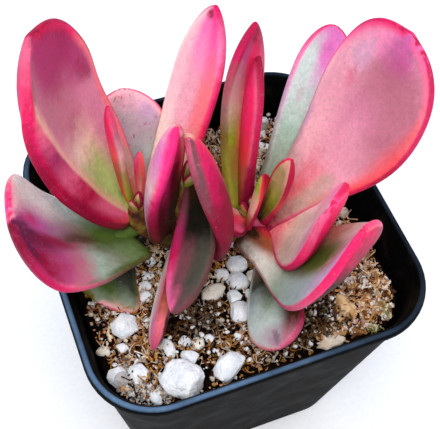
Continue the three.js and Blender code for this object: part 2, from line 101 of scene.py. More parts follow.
def add(tree, kind, *values, stops=None, **named):
    """Adds a node; kind leaves out ShaderNode. The values go to its inputs in order, each named one to
    the input or the setting of that name, and stops to its ramp. A node given as a value stands for
    its first output."""
    new = tree.nodes.new(kind if "Node" in kind else "ShaderNode" + kind)
    titles = [socket.name.lower().replace(" ", "_") for socket in new.inputs]
    for name in [name for name in named if name not in titles]:
        setattr(new, name, named.pop(name))
    if stops:
        ramp = new.color_ramp.elements
        while len(ramp) < len(stops):
            ramp.new(1)
        for element, (place, code) in zip(ramp, stops):
            element.position = place
            element.color = rgb(code)
    live = [(socket, title) for socket, title in zip(new.inputs, titles) if socket.enabled]
    given = [(socket, value) for (socket, title), value in zip(live, values)]
    given += [(socket, named[title]) for socket, title in live if title in named]
    for socket, value in given:
        if isinstance(value, bpy.types.Node):
            value = next(output for output in value.outputs if output.enabled)
        if isinstance(value, bpy.types.NodeSocket):
            tree.links.new(value, socket)
        else:
            socket.default_value = value
    return new


def new_material(name):
    """An empty material and its tree."""
    made = bpy.data.materials.new(name)
    made.use_nodes = True
    made.node_tree.nodes.clear()
    return made, made.node_tree


MM = 0.001


def new_piece(name, points, faces, material, smooth_below):
    """An object at the origin from points in millimetres, smooth where its faces meet at less than
    that many degrees."""
    mesh = bpy.data.meshes.new(name)
    mesh.from_pydata([tuple(p * MM) for p in points], [], faces)
    mesh.materials.append(material)
    mesh.shade_smooth()
    mesh.set_sharp_from_angle(angle=math.radians(smooth_below))
    return put(name, mesh)


# Matt white paper sheet: barely uneven, so that its shade stays soft.
paper, tree = new_material("matt_paper")
where = add(tree, "TexCoord").outputs["Object"]
tooth = add(tree, "TexNoise", where, scale=900, detail=3)
sheet = add(tree, "ValToRGB", tooth, stops=[(0.3, "#f3f4f5"), (0.7, "#fafafa")])
paper_skin = add(tree, "BsdfPrincipled", base_color=sheet, roughness=0.9)
add(tree, "OutputMaterial", paper_skin)
FLOOR_HALF = 1500
corners = [Vector((x * FLOOR_HALF, y * FLOOR_HALF, 0)) for x, y in [(-1, -1), (1, -1), (1, 1), (-1, 1)]]
floor = new_piece("floor", corners, [(0, 1, 2, 3)], paper, smooth_below=40)


# The light: a large soft lamp high at the front left, a weaker one behind that lights the back
# edges, a little from the right, and an even pale blue-white surround.
# Each lamp has its name, place and size in metres, watts and colour.
LAMPS = [
    ("lamp_front", (-0.15, -0.23, 0.62), 0.42, 2.8, "#fffaf4"),
    ("lamp_behind", (-0.15, 0.45, 0.45), 0.40, 1.2, "#eaf1ff"),
    ("lamp_right", (0.55, -0.10, 0.40), 0.45, 1.0, "#f8f9ff"),
]
LIT_POINT = Vector((0, 0, 0.07))
SURROUND_COLOUR = "#e6eefc"
SURROUND_STRENGTH = 0.82
for name, place, size, power, code in LAMPS:
    lamp = put(name, bpy.data.lights.new(name, "AREA"))
    lamp.data.size = size
    lamp.data.energy = power
    lamp.data.color = rgb(code)[:3]
    lamp.location = place
    aim = LIT_POINT - Vector(place)
    lamp.rotation_euler = aim.to_track_quat("-Z", "Y").to_euler()
surround = bpy.data.worlds.new("surround")
surround.use_nodes = True
sky = surround.node_tree.nodes["Background"].inputs
sky["Color"].default_value = rgb(SURROUND_COLOUR)
sky["Strength"].default_value = SURROUND_STRENGTH
scene.world = surround


# The pot: one moulded square nursery pot with rounded corners, tapered walls, a rolled lip
# and four drain holes. Thin black polypropylene, straight from the mould.
RIM_HALF = 38
RIM_CORNER = 14.7
LIP_BOTTOM = 63.4
BODY_HALF = 36.6
BODY_CORNER = 13.3
BASE_HALF = 27
BASE_CORNER = 9
WALL = 1
POT_FLOOR = 1.4
DRAIN_RADIUS = 4
DRAIN_OFFSET = 15
DRAIN_CUT = 6
POT_SMOOTH_BELOW = 50
CORNER_POINTS = 12
SIDE_POINTS = 5


def rounded_square(half, corner, z):
    """Points round a square with rounded corners, in millimetres."""
    ring = []
    reach = 2 * (half - corner)
    for quarter in range(4):
        cx = (half - corner) * (1 if quarter in (0, 3) else -1)
        cy = (half - corner) * (1 if quarter < 2 else -1)
        for i in range(CORNER_POINTS + 1):
            turn = (quarter + i / CORNER_POINTS) * math.pi / 2
            ring.append(Vector((cx + corner * math.cos(turn), cy + corner * math.sin(turn), z)))
        turn = (quarter + 1) * math.pi / 2
        corner_end = ring[-1]
        for i in range(1, SIDE_POINTS):
            ahead = Vector((-math.sin(turn), math.cos(turn), 0)) * reach * i / SIDE_POINTS
            ring.append(corner_end + ahead)
    return ring


def loft(rings, first, last):
    """A closed skin through equal rings of points, with a middle point at each end."""
    count = len(rings[0])
    points = [first] + [p for ring in rings for p in ring] + [last]
    end = len(points) - 1
    faces = []
    for j in range(count):
        k = (j + 1) % count
        faces.append((0, 1 + k, 1 + j))
        faces.append((end, end - count + j, end - count + k))
    for i in range(len(rings) - 1):
        for j in range(count):
            k = (j + 1) % count
            a = 1 + i * count
            faces.append((a + j, a + k, a + count + k, a + count + j))
    return points, faces


def wall_ring(z, inset=0):
    """The tapered wall at a height, set in by so many millimetres."""
    share = z / LIP_BOTTOM
    half = BASE_HALF + (BODY_HALF - BASE_HALF) * share
    corner = BASE_CORNER + (BODY_CORNER - BASE_CORNER) * share
    return rounded_square(half - inset, corner - 0.6 * inset, z)


pot_rings = [
    rounded_square(BASE_HALF - 1.2, BASE_CORNER - 1, 0),
    rounded_square(BASE_HALF - 0.7, BASE_CORNER - 0.6, 0.1),
    rounded_square(BASE_HALF - 0.25, BASE_CORNER - 0.2, 0.5),
    wall_ring(1.5),
    wall_ring(3.0),
]
pot_rings += [wall_ring(z) for z in (12, 22, 32, 42, 52, 60, 62.6, 63.2)]
LIP_OUTLINE = [
    (37.1, 63.35), (37.6, 63.45), (37.85, 63.65), (37.97, 63.95), (38.0, 64.4), (38.0, 64.9),
    (37.94, 65.25), (37.8, 65.57), (37.56, 65.82), (37.28, 65.96), (37.0, 65.98), (36.75, 65.85),
    (36.55, 65.6), (36.3, 65.1),
]
for half, z in LIP_OUTLINE:
    pot_rings.append(rounded_square(half, RIM_CORNER - (RIM_HALF - half) * 0.9, z))
pot_rings += [wall_ring(z, WALL) for z in (63.8, 62.6, 58, 48, 32, 14, POT_FLOOR + 1.4)]
pot_rings.append(wall_ring(POT_FLOOR + 0.5, WALL + 0.4))
pot_rings.append(wall_ring(POT_FLOOR, WALL + 1.2))
pot_points, pot_faces = loft(pot_rings, Vector((0, 0, 0)), Vector((0, 0, POT_FLOOR)))

# Black polypropylene with a satin moulded skin: a painted blue-grey reflection of the sky along the top of
# the lip, strongest at the front left, near black inside, with faint patches of dust and dried mix on the
# walls.
plastic, tree = new_material("moulded_polypropylene")
where = add(tree, "TexCoord").outputs["Object"]
place = add(tree, "SeparateXYZ", where)
dust_cloud = add(tree, "TexNoise", where, scale=140, detail=6, roughness=0.65)
specks = add(tree, "TexVoronoi", where, scale=700)
scuff_run = add(tree, "Mapping", where, scale=(1, 1, 0.12))
scuffs = add(tree, "TexNoise", scuff_run, scale=1500, detail=4)
orange_peel = add(tree, "TexNoise", where, scale=1400, detail=2)
dusty = add(tree, "MapRange", dust_cloud, 0.48, 0.85, 0, 0.34, interpolation_type="SMOOTHSTEP")
black = add(tree, "ValToRGB", scuffs, stops=[(0.35, "#020303"), (0.6, "#040506"), (0.85, "#0d1013")])
dusted = add(tree, "Mix", dusty, black, rgb("#40362a"), data_type="RGBA")
crumb = add(tree, "MapRange", specks, 0.1, 0.2, 0.5, 0)
crumb_share = add(tree, "Math", crumb, dusty, operation="MULTIPLY")
crumbed = add(tree, "Mix", crumb_share, dusted, rgb("#9a8a76"), data_type="RGBA")
# Painted reflection of the sky: the top of the lip turns blue-grey in patches, most at the front left and
# least at the back right.
lip_top_band = add(tree, "MapRange", place.outputs["Z"], 0.06548, 0.06597, interpolation_type="SMOOTHSTEP")
front_left_reach = add(tree, "VectorMath", where, (-0.8, -0.6, 0), operation="DOT_PRODUCT")
front_left = add(tree, "MapRange", front_left_reach, -0.008, 0.046, 0.12, 1.3, interpolation_type="SMOOTHSTEP")
worn = add(tree, "Math", lip_top_band, dust_cloud, operation="MULTIPLY")
lip_sheen_share = add(tree, "Math", worn, front_left, operation="MULTIPLY")
painted_lip_sheen = add(tree, "Mix", lip_sheen_share, crumbed, rgb("#6786a8"), data_type="RGBA")
satin = add(tree, "MapRange", dust_cloud, 0.3, 0.75, 0.5, 0.75)
peel_bump = add(tree, "Bump", height=orange_peel, strength=0.12, distance=0.0002)
scuff_bump = add(tree, "Bump", height=scuffs, strength=0.15, distance=0.0002, normal=peel_bump)
plastic_skin = add(
    tree, "BsdfPrincipled", base_color=painted_lip_sheen, roughness=satin, ior=1.49, specular_ior_level=0.03,
    normal=scuff_bump,
)
add(tree, "OutputMaterial", plastic_skin)

pot = new_piece("nursery_pot", pot_points, pot_faces, plastic, smooth_below=POT_SMOOTH_BELOW)
drains = bmesh.new()
for sx in (-1, 1):
    for sy in (-1, 1):
        spot = Matrix.Translation((sx * DRAIN_OFFSET * MM, sy * DRAIN_OFFSET * MM, 0))
        bmesh.ops.create_cone(
            drains, cap_ends=True, segments=32, radius1=DRAIN_RADIUS * MM,
            radius2=DRAIN_RADIUS * MM, depth=DRAIN_CUT * MM, matrix=spot,
        )
drain_mesh = bpy.data.meshes.new("drain_cutters")
drains.to_mesh(drain_mesh)
drains.free()
cutters = put("drain_cutters", drain_mesh)
cut = pot.modifiers.new("drain_holes", "BOOLEAN")
cut.operation = "DIFFERENCE"
cut.object = cutters


def settle(piece):
    """Turns a piece and its modifiers into a plain mesh."""
    bpy.context.view_layer.update()
    shape = bpy.data.meshes.new_from_object(piece.evaluated_get(bpy.context.evaluated_depsgraph_get()))
    piece.modifiers.clear()
    piece.data = shape


settle(pot)
pot.data.set_sharp_from_angle(angle=math.radians(POT_SMOOTH_BELOW))
bpy.data.objects.remove(cutters)
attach(pot, "root")
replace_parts(pot, "pot")


# The potting mix: a loose fill of coir, bark fines and crushed pumice, tipped in and settled
# to a little under the lip, lower towards the back.
MIX_BOTTOM = 1.8
MIX_TOP = 55.3
MIX_FALL = 0.05
MIX_INSET = 1.3
MIX_RIM = 52.8
MIX_STEPS = 34
MIX_SUNK = 0.2


def mix_height(x, y):
    """Height of the settled mix, in millimetres."""
    mounds = 0.55 * math.sin(0.31 * x + 1.1) * math.cos(0.36 * y) + 0.35 * math.sin(0.83 * x + 0.7 * y)
    return MIX_TOP - MIX_FALL * y + mounds


mix_rings = [wall_ring(MIX_BOTTOM, MIX_INSET + 1.4), wall_ring(3, MIX_INSET), wall_ring(30, MIX_INSET)]
mix_edge = wall_ring(MIX_RIM, MIX_INSET)
mix_rings.append(mix_edge)
for step in range(MIX_STEPS):
    share = 1 - step / MIX_STEPS
    ring = []
    for p in mix_edge:
        x, y = p.x * share, p.y * share
        # Lumps some 2 mm across, and finer ones on those.
        lumps = noise.noise(Vector((x, y, 0)) * 0.55) * 0.55 + noise.noise(Vector((x, y, 5)) * 1.3) * 0.35
        ring.append(Vector((x, y, mix_height(x, y) + lumps - MIX_SUNK)))
    mix_rings.append(ring)
mix_points, mix_faces = loft(mix_rings, Vector((0, 0, MIX_BOTTOM)), Vector((0, 0, mix_height(0, 0))))

# Damp coir and bark dust: nearly black in its gaps to dark brown on its lumps, rough and dull. The near
# black is partly painted shade, for the shaded gaps between the loose pieces.
fines, tree = new_material("damp_coir_dust")
where = add(tree, "TexCoord").outputs["Object"]
lump = add(tree, "TexNoise", where, scale=500, detail=6)
grain = add(tree, "TexNoise", where, scale=1900, detail=4)
brown = add(
    tree, "ValToRGB", lump, stops=[(0.3, "#020100"), (0.5, "#0a0503"), (0.64, "#1e1009"), (0.78, "#3c2416")],
)
grain_bump = add(tree, "Bump", height=grain, strength=0.9, distance=0.0006)
fines_skin = add(
    tree, "BsdfPrincipled", base_color=brown, roughness=0.95, specular_ior_level=0.08, normal=grain_bump,
)
add(tree, "OutputMaterial", fines_skin)
mix = new_piece("potting_mix", mix_points, mix_faces, fines, smooth_below=180)
# How far each point of the mix is from the wall, or from a stone, which keeps loose pieces off it.
edge_gap = mix.data.attributes.new("edge_gap", "FLOAT", "POINT")
STONE_CLEARANCE = 2.0
MOUTH_HALF = 34
MOUTH_CORNER = 12
stone_places = []
for name in frame["nodes"]:
    if name.startswith("stone"):
        low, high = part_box(name)
        stone_places.append(((low + high).xy / 2 / MM, (high - low).xy / 2 / MM))
gaps = []
for v in mix.data.vertices:
    past_x, past_y = [max(abs(c / MM) - MOUTH_HALF + MOUTH_CORNER, 0) for c in v.co.xy]
    gap = MOUTH_CORNER - Vector((past_x, past_y)).length
    for middle, reach in stone_places:
        away = v.co.xy / MM - middle
        share = Vector((away.x / reach.x, away.y / reach.y)).length
        gap = min(gap, (share - 1) * min(reach) + STONE_CLEARANCE)
    gaps.append(gap)
edge_gap.data.foreach_set("value", gaps)
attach(mix, "root")
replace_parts(mix, "soil")

# Loose pieces of the mix are all scattered by one rule: so many a square metre on the upward
# faces, each picked from a few cut shapes, turned, leaned, sized and shaded by chance.
UPWARD = 0.6
scatter = bpy.data.node_groups.new("scattered_mix", "GeometryNodeTree")
sockets = {}
scatter.interface.new_socket("Geometry", in_out="INPUT", socket_type="NodeSocketGeometry")
for name, kind in [
    ("Shapes", "NodeSocketCollection"), ("Finish", "NodeSocketMaterial"),
    ("Pieces per m2", "NodeSocketFloat"), ("Seed", "NodeSocketInt"),
    ("Smallest", "NodeSocketFloat"), ("Largest", "NodeSocketFloat"),
    ("Lean", "NodeSocketFloat"), ("Raise", "NodeSocketFloat"), ("Clear of wall", "NodeSocketFloat"),
]:
    sockets[name] = scatter.interface.new_socket(name, in_out="INPUT", socket_type=kind).identifier
scatter.interface.new_socket("Geometry", in_out="OUTPUT", socket_type="NodeSocketGeometry")
given = add(scatter, "NodeGroupInput").outputs
facing = add(scatter, "SeparateXYZ", add(scatter, "GeometryNodeInputNormal"))
upward = add(scatter, "FunctionNodeCompare", facing.outputs["Z"], UPWARD, operation="GREATER_THAN")
gap = add(scatter, "GeometryNodeInputNamedAttribute", name="edge_gap", data_type="FLOAT")
clear = add(scatter, "FunctionNodeCompare", gap, given["Clear of wall"], operation="GREATER_THAN")
allowed = add(scatter, "FunctionNodeBooleanMath", upward, clear)
dots = add(
    scatter, "GeometryNodeDistributePointsOnFaces", mesh=given["Geometry"], selection=allowed,
    density=given["Pieces per m2"], seed=given["Seed"],
)
lift = add(scatter, "CombineXYZ", z=given["Raise"])
raised = add(scatter, "GeometryNodeSetPosition", dots, offset=lift)
back = add(scatter, "Math", given["Lean"], -1, operation="MULTIPLY")
least = add(scatter, "CombineXYZ", x=back, y=back)
most = add(scatter, "CombineXYZ", x=given["Lean"], y=given["Lean"], z=2 * math.pi)
turn = add(scatter, "FunctionNodeRandomValue", min=least, max=most, seed=1, data_type="FLOAT_VECTOR")
size = add(scatter, "FunctionNodeRandomValue", given["Smallest"], given["Largest"], seed=2)
shapes = add(
    scatter, "GeometryNodeCollectionInfo", collection=given["Shapes"], separate_children=True,
    reset_children=True,
)
laid = add(
    scatter, "GeometryNodeInstanceOnPoints", points=raised, instance=shapes, pick_instance=True,
    rotation=turn, scale=size,
)
chance = add(scatter, "FunctionNodeRandomValue", seed=3)
shaded = add(
    scatter, "GeometryNodeStoreNamedAttribute", laid, name="shade", value=chance, data_type="FLOAT",
    domain="INSTANCE",
)
real = add(scatter, "GeometryNodeRealizeInstances", shaded)
finished = add(scatter, "GeometryNodeSetMaterial", real, material=given["Finish"])
add(scatter, "NodeGroupOutput", finished)


def strew(name, shapes, finish, per_m2, seed, sizes, lean, lift, clear, spots=()):
    """Scatters the shapes over the mix as one plain piece: so many a square metre, between two
    sizes, leaned by up to so many radians, lifted by so many metres and clear of the wall by so
    many millimetres. spots limits it to circles: x, y and radius in millimetres."""
    kept = bpy.data.collections.new(name + "_shapes")
    for shape in shapes:
        kept.objects.link(bpy.data.objects.new(shape.name, shape))
    made = put(name, mix.data.copy())
    if spots:
        ground = bmesh.new()
        ground.from_mesh(made.data)
        outside = [
            face for face in ground.faces
            if all((face.calc_center_median().xy / MM - Vector(spot[:2])).length > spot[2] for spot in spots)
        ]
        bmesh.ops.delete(ground, geom=outside, context="FACES")
        ground.to_mesh(made.data)
        ground.free()
    rule = made.modifiers.new("strewn", "NODES")
    rule.node_group = scatter
    values = {
        "Shapes": kept, "Finish": finish, "Pieces per m2": per_m2, "Seed": seed,
        "Smallest": sizes[0], "Largest": sizes[1], "Lean": lean, "Raise": lift, "Clear of wall": clear,
    }
    for label, value in values.items():
        rule[sockets[label]] = value
    settle(made)
    made.data.name = name
    for shape in list(kept.objects):
        bpy.data.objects.remove(shape)
    bpy.data.collections.remove(kept)
    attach(made, "root")
    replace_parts(made, "soil")


# Coir and bark shreds, torn and dried: from dark brown through orange-brown to straw and cream,
# each of its own shade, streaked along the fibre, dimmer in damp clouds, and painted darker under two
# drooping leaves for their shade.
coir, tree = new_material("torn_coir_and_bark")
where = add(tree, "TexCoord").outputs["Object"]
shade = add(tree, "Attribute", attribute_name="shade").outputs["Fac"]
fibre = add(tree, "TexNoise", where, scale=1600, detail=4)
damp = add(tree, "TexNoise", where, scale=90, detail=2)
# Painted shade under two drooping leaves. Each patch has x, y and size in millimetres, and the
# share of light that it leaves.
LEAF_SHADE_PATCHES = [(-12, -16, 12, 0.26), (13, -26, 12, 0.26)]
tone = add(
    tree, "ValToRGB", shade,
    stops=[(0, "#120804"), (0.18, "#3e1f0e"), (0.34, "#884a20"), (0.48, "#c08436"), (0.6, "#d69c5c"),
           (0.72, "#c8967c"), (0.84, "#ecca9e"), (0.93, "#f6e2c8"), (1, "#fdf6ec")],
)
streak = add(tree, "MapRange", fibre, 0.3, 0.7, 0.6, 1.25)
wet = add(tree, "MapRange", damp, 0.35, 0.65, 0.75, 1.2)
dimmed = add(tree, "Math", streak, wet, operation="MULTIPLY")
# Painted shade: inside each patch the colour falls to that share of itself.
for x, y, size, dark in LEAF_SHADE_PATCHES:
    near = add(tree, "VectorMath", where, (x * MM, y * MM, MIX_TOP * MM), operation="DISTANCE")
    unshaded = add(tree, "MapRange", near, size * 0.4 * MM, size * MM, dark, interpolation_type="SMOOTHSTEP")
    dimmed = add(tree, "Math", dimmed, unshaded, operation="MULTIPLY")
coir_colour = add(tree, "VectorMath", tone, dimmed, operation="SCALE")
fibre_bump = add(tree, "Bump", height=fibre, strength=0.5, distance=0.0002)
coir_skin = add(
    tree, "BsdfPrincipled", base_color=coir_colour, roughness=0.85, specular_ior_level=0.15,
    normal=fibre_bump,
)
add(tree, "OutputMaterial", coir_skin)


def shred(name, length, width, thick, curl, seed, steps=5):
    """One torn fibre or chip, in millimetres: a curled strip with ragged sides, of 16 to 28 faces.
    It is widest in the middle, arched by its curl, and pointed at both ends."""
    chance = random.Random(seed)
    rings = []
    for i in range(steps + 1):
        t = i / steps - 0.5
        bend = curl * t
        middle = Vector((length * t, curl * length * 0.16 * math.cos(3 * t + seed), abs(bend) * 0.9))
        half = width / 2 * (1 - 1.5 * t * t) * chance.uniform(0.75, 1.15)
        rings.append([
            middle + Vector((0, half, 0)),
            middle + Vector((0, 0, thick * chance.uniform(0.7, 1.1))),
            middle + Vector((0, -half, 0)),
            middle + Vector((0, 0, -thick * 0.4)),
        ])
    first = rings[0][0].lerp(rings[0][2], 0.5) - Vector((0.15, 0, 0))
    last = rings[-1][0].lerp(rings[-1][2], 0.5) + Vector((0.15, 0, 0))
    points, faces = loft(rings, first, last)
    mesh = bpy.data.meshes.new(name)
    mesh.from_pydata([tuple(p * MM) for p in points], [], [tuple(reversed(f)) for f in faces])
    return mesh


fibres = [
    shred("fibre_long", 4.6, 0.42, 0.24, 2.2, 1),
    shred("fibre_curled", 3.8, 0.55, 0.26, 3.4, 2),
    shred("fibre_hooked", 3.0, 0.5, 0.3, 4.2, 3),
    shred("chip_thin", 2.2, 0.8, 0.3, 1.4, 4),
    shred("chip_wide", 2.4, 1.1, 0.36, 0.8, 5),
]
strew(
    "coir_shreds", fibres, coir, per_m2=560000, seed=11, sizes=(0.5, 1.1), lean=0.55, lift=0.0004,
    clear=2.7,
)
curls = [
    shred("curl_thin", 2.4, 0.5, 0.28, 3.6, 6, steps=3),
    shred("curl_tight", 1.8, 0.62, 0.32, 4.6, 7, steps=3),
    shred("curl_wide", 1.6, 0.9, 0.34, 2.4, 8, steps=3),
    shred("splinter", 2.1, 0.42, 0.26, 1.0, 9, steps=3),
]
strew(
    "coir_curls", curls, coir, per_m2=850000, seed=17, sizes=(0.55, 1.15), lean=0.7, lift=0.0003,
    clear=1.8,
)


def crumb_shape(name, seed, rough, flat=0.8):
    """One broken crumb a millimetre across, of 20 faces."""
    chance = random.Random(seed)
    lump = bmesh.new()
    bmesh.ops.create_icosphere(lump, subdivisions=1, radius=0.5 * MM)
    for v in lump.verts:
        v.co *= chance.uniform(1 - rough, 1 + rough)
        v.co.z *= flat
    mesh = bpy.data.meshes.new(name)
    lump.to_mesh(mesh)
    lump.free()
    return mesh


# Bark fines: small broken crumbs of composted bark, in the colours of the shreds. They have
# sifted down between the shreds and lie loose on the dust.
crumbs = [crumb_shape(f"crumb_{i}", 20 + i, rough=0.5, flat=0.5) for i in range(4)]
strew(
    "bark_crumbs", crumbs, coir, per_m2=700000, seed=23, sizes=(0.4, 1.1), lean=0.9, lift=0.0001,
    clear=0.9,
)


def loose_finish(name, stops, scale, roughness, bump, depth, detail=4, streaks=None):
    """Skin of small loose pieces, each of its own shade, with a fine grain that may darken and
    lighten it too."""
    made, tree = new_material(name)
    where = add(tree, "TexCoord").outputs["Object"]
    shade = add(tree, "Attribute", attribute_name="shade").outputs["Fac"]
    grain = add(tree, "TexNoise", where, scale=scale, detail=detail)
    tone = add(tree, "ValToRGB", shade, stops=stops)
    if streaks:
        streak = add(tree, "MapRange", grain, 0.3, 0.7, *streaks)
        tone = add(tree, "VectorMath", tone, streak, operation="SCALE")
    uneven = add(tree, "Bump", height=grain, strength=bump, distance=depth)
    skin = add(tree, "BsdfPrincipled", base_color=tone, roughness=roughness, normal=uneven)
    add(tree, "OutputMaterial", skin)
    return made


# Dry chips: broken bark and bits of fired clay at the right of the pot, where the mix has dried
# out. They lie loose, curled or flat, dull and mostly tan to cream, with a few brown ones.
chip_finish = loose_finish(
    "dry_bark_and_clay_chips",
    [(0.0, "#3a1e10"), (0.2, "#8a5628"), (0.34, "#d69a54"), (0.52, "#f4cf9c"), (0.7, "#fff0d8"),
     (0.9, "#ffffff"), (1.0, "#e0b4ac")],
    scale=1800, roughness=0.88, bump=0.6, depth=0.0002, streaks=(0.6, 1.15),
)
chips = [crumb_shape(f"chip_{i}", 50 + i, rough=0.45, flat=0.6) for i in range(3)]
chips += [
    shred("chip_curled", 1.9, 1.1, 0.34, 2.0, 53, steps=2),
    shred("chip_split", 2.2, 0.8, 0.34, 1.2, 54, steps=2),
]
DRY_SPOTS = [(33, -9, 6), (32, -17, 6.5), (28, -24, 6.5), (20, -30, 5)]
strew(
    "dry_chips", chips, chip_finish, per_m2=1300000, seed=57, sizes=(0.6, 1.45), lean=0.8,
    lift=0.0006, clear=1.4, spots=DRY_SPOTS,
)

# Stone dust: grey-beige powder of crushed pumice, in fine grains without any gloss. It was
# washed down with watering and has settled in the front left corner.
dust_finish = loose_finish(
    "settled_stone_dust",
    [(0.0, "#6f655e"), (0.4, "#a39a92"), (0.8, "#c4bcb4"), (1.0, "#e2ddd8")],
    scale=2400, roughness=0.96, bump=0.5, depth=0.0001,
)
motes = [crumb_shape(f"mote_{i}", 70 + i, rough=0.3) for i in range(3)]
DUST_SPOTS = [(-28.5, -27.5, 4.2), (-25.5, -31, 3.2), (-28.5, -22.5, 2.8)]
strew(
    "stone_dust", motes, dust_finish, per_m2=14000000, seed=71, sizes=(0.25, 0.7), lean=3.1,
    lift=0.0007, clear=0.9, spots=DUST_SPOTS,
)

# Moss: two small yellow-green tufts of dry fronds that have started by the front right wall,
# rooted in the damp mix.
moss_finish = loose_finish(
    "young_moss",
    [(0.0, "#666a2c"), (0.4, "#9c9e56"), (0.75, "#cbca8e"), (1.0, "#e6e6c0")],
    scale=2000, roughness=0.9, bump=0.5, depth=0.0001, detail=3,
)
fronds = [shred(f"frond_{i}", 1.3, 0.32, 0.2, 2.4, 80 + i, steps=3) for i in range(3)]
MOSS_SPOTS = [(28.6, -28.4, 1.5), (24.2, -32.4, 1.6)]
strew(
    "moss_tufts", fronds, moss_finish, per_m2=6500000, seed=81, sizes=(0.5, 1.1), lean=1.2,
    lift=0.0006, clear=0.9, spots=MOSS_SPOTS,
)

# Fine pumice grit: dry white volcanic glass froth, dull, with a few grey and tan grains, and a
# drift of coarser grains at the back between two leaves.
grit_finish = loose_finish(
    "crushed_pumice_grit",
    [(0.0, "#8f8274"), (0.18, "#c9b79e"), (0.35, "#e6ddd0"), (0.6, "#f1f1f0"), (1.0, "#e8eef6")],
    scale=2200, roughness=0.9, bump=0.6, depth=0.0002,
)
grains = [crumb_shape(f"grain_{i}", 40 + i, rough=0.22) for i in range(4)]
strew(
    "pumice_grit", grains, grit_finish, per_m2=420000, seed=31, sizes=(0.35, 1.5), lean=3.1,
    lift=0.0006, clear=1.4,
)
BACK_SPOTS = [(24.3, 30.0, 1.9), (22.8, 26.6, 1.9), (20.6, 22.8, 1.6), (17.2, 18.6, 1.2)]
strew(
    "back_grit", grains, grit_finish, per_m2=340000, seed=33, sizes=(2.5, 3.7), lean=3.1,
    lift=0.0009, clear=1.9, spots=BACK_SPOTS,
)


# The stones: crushed pumice and a few tan pieces of fired clay, laid loose on the mix and
# sunk a third of their height. Each is its own piece, broken to a few flat faces.
# Their heights in millimetres:
STONES = {
    "stone_big": 7.2, "stone_long": 5, "stone_left_near": 4.6, "stone_corner": 3.3,
    "stone_soft": 3.3, "stone_left_edge": 2.1, "stone_crown": 3.9, "stone_mid_left": 2.7,
    "stone_mid": 3.5, "stone_cream": 3.4, "stone_spotted": 4, "stone_tan": 3.2,
    "stone_pale_tan": 2.6, "stone_front": 2.3, "stone_upright": 2.4, "stone_left_inner": 2.5,
    "stone_row_left": 2.3, "stone_row_mid": 2.6, "stone_row_right": 1.6, "stone_by_lip": 1.8,
    "stone_left_gap": 2, "stone_shaded": 2.3, "stone_low_mid": 3, "stone_low_right": 1.5,
    "stone_inner_low": 2.1, "stone_inner_high": 1.7, "stone_inner_top": 1.9, "stone_tail": 1.7,
    "stone_back_round": 2.6,
}


def stone_finish(name, light, dark, stain):
    """Dry crushed stone, dull and porous: fine pits, faint shade and a stain where it sits in the mix."""
    made, tree = new_material(name)
    where = add(tree, "TexCoord").outputs["Object"]
    sunk = add(tree, "Attribute", attribute_name="sunk").outputs["Fac"]
    cloud = add(tree, "TexNoise", where, scale=420, detail=5)
    pits = add(tree, "TexVoronoi", where, scale=1300)
    froth = add(tree, "TexNoise", where, scale=2600, detail=5)
    tone = add(tree, "ValToRGB", cloud, stops=[(0.32, dark), (0.62, light)])
    pit = add(tree, "MapRange", pits, 0.08, 0.24, 0.3, 0)
    pitted = add(tree, "Mix", pit, tone, rgb(stain), data_type="RGBA")
    soiled = add(tree, "Math", sunk, cloud, operation="MULTIPLY")
    stained = add(tree, "Mix", soiled, pitted, rgb("#6b4a30"), data_type="RGBA")
    relief = add(tree, "Math", froth, pit, operation="SUBTRACT")
    bump = add(tree, "Bump", height=relief, strength=0.8, distance=0.0003)
    skin = add(tree, "BsdfPrincipled", base_color=stained, roughness=0.92, normal=bump)
    add(tree, "OutputMaterial", skin)
    return made


pumice = stone_finish("crushed_pumice", "#f9fcff", "#dde6ef", "#9a9fa8")
cream_stone = stone_finish("cream_pumice", "#f3efe4", "#d9cfba", "#a58f6c")
tan_stone = stone_finish("tan_clay_stone", "#eccb98", "#c4925a", "#8a5f34")
pale_tan_stone = stone_finish("pale_tan_stone", "#efe4d2", "#cfb696", "#94755a")
STONE_FINISH = {
    "stone_cream": cream_stone, "stone_row_mid": cream_stone, "stone_shaded": cream_stone,
    "stone_back_round": cream_stone, "stone_left_edge": cream_stone,
    "stone_tan": tan_stone, "stone_pale_tan": pale_tan_stone,
}

# How lumpy, where a stone isn't plainly broken, as a share of its size.
LUMPY = {"stone_tan": 0.3, "stone_pale_tan": 0.22, "stone_back_round": 0.04}
# Brown stains: the stone, the middle of the stain and its size in millimetres.
STAINS = {"stone_spotted": ((-0.9, -19.9, 59.7), 0.8), "stone_corner": ((-31.0, -25.4, 58.0), 1.9)}

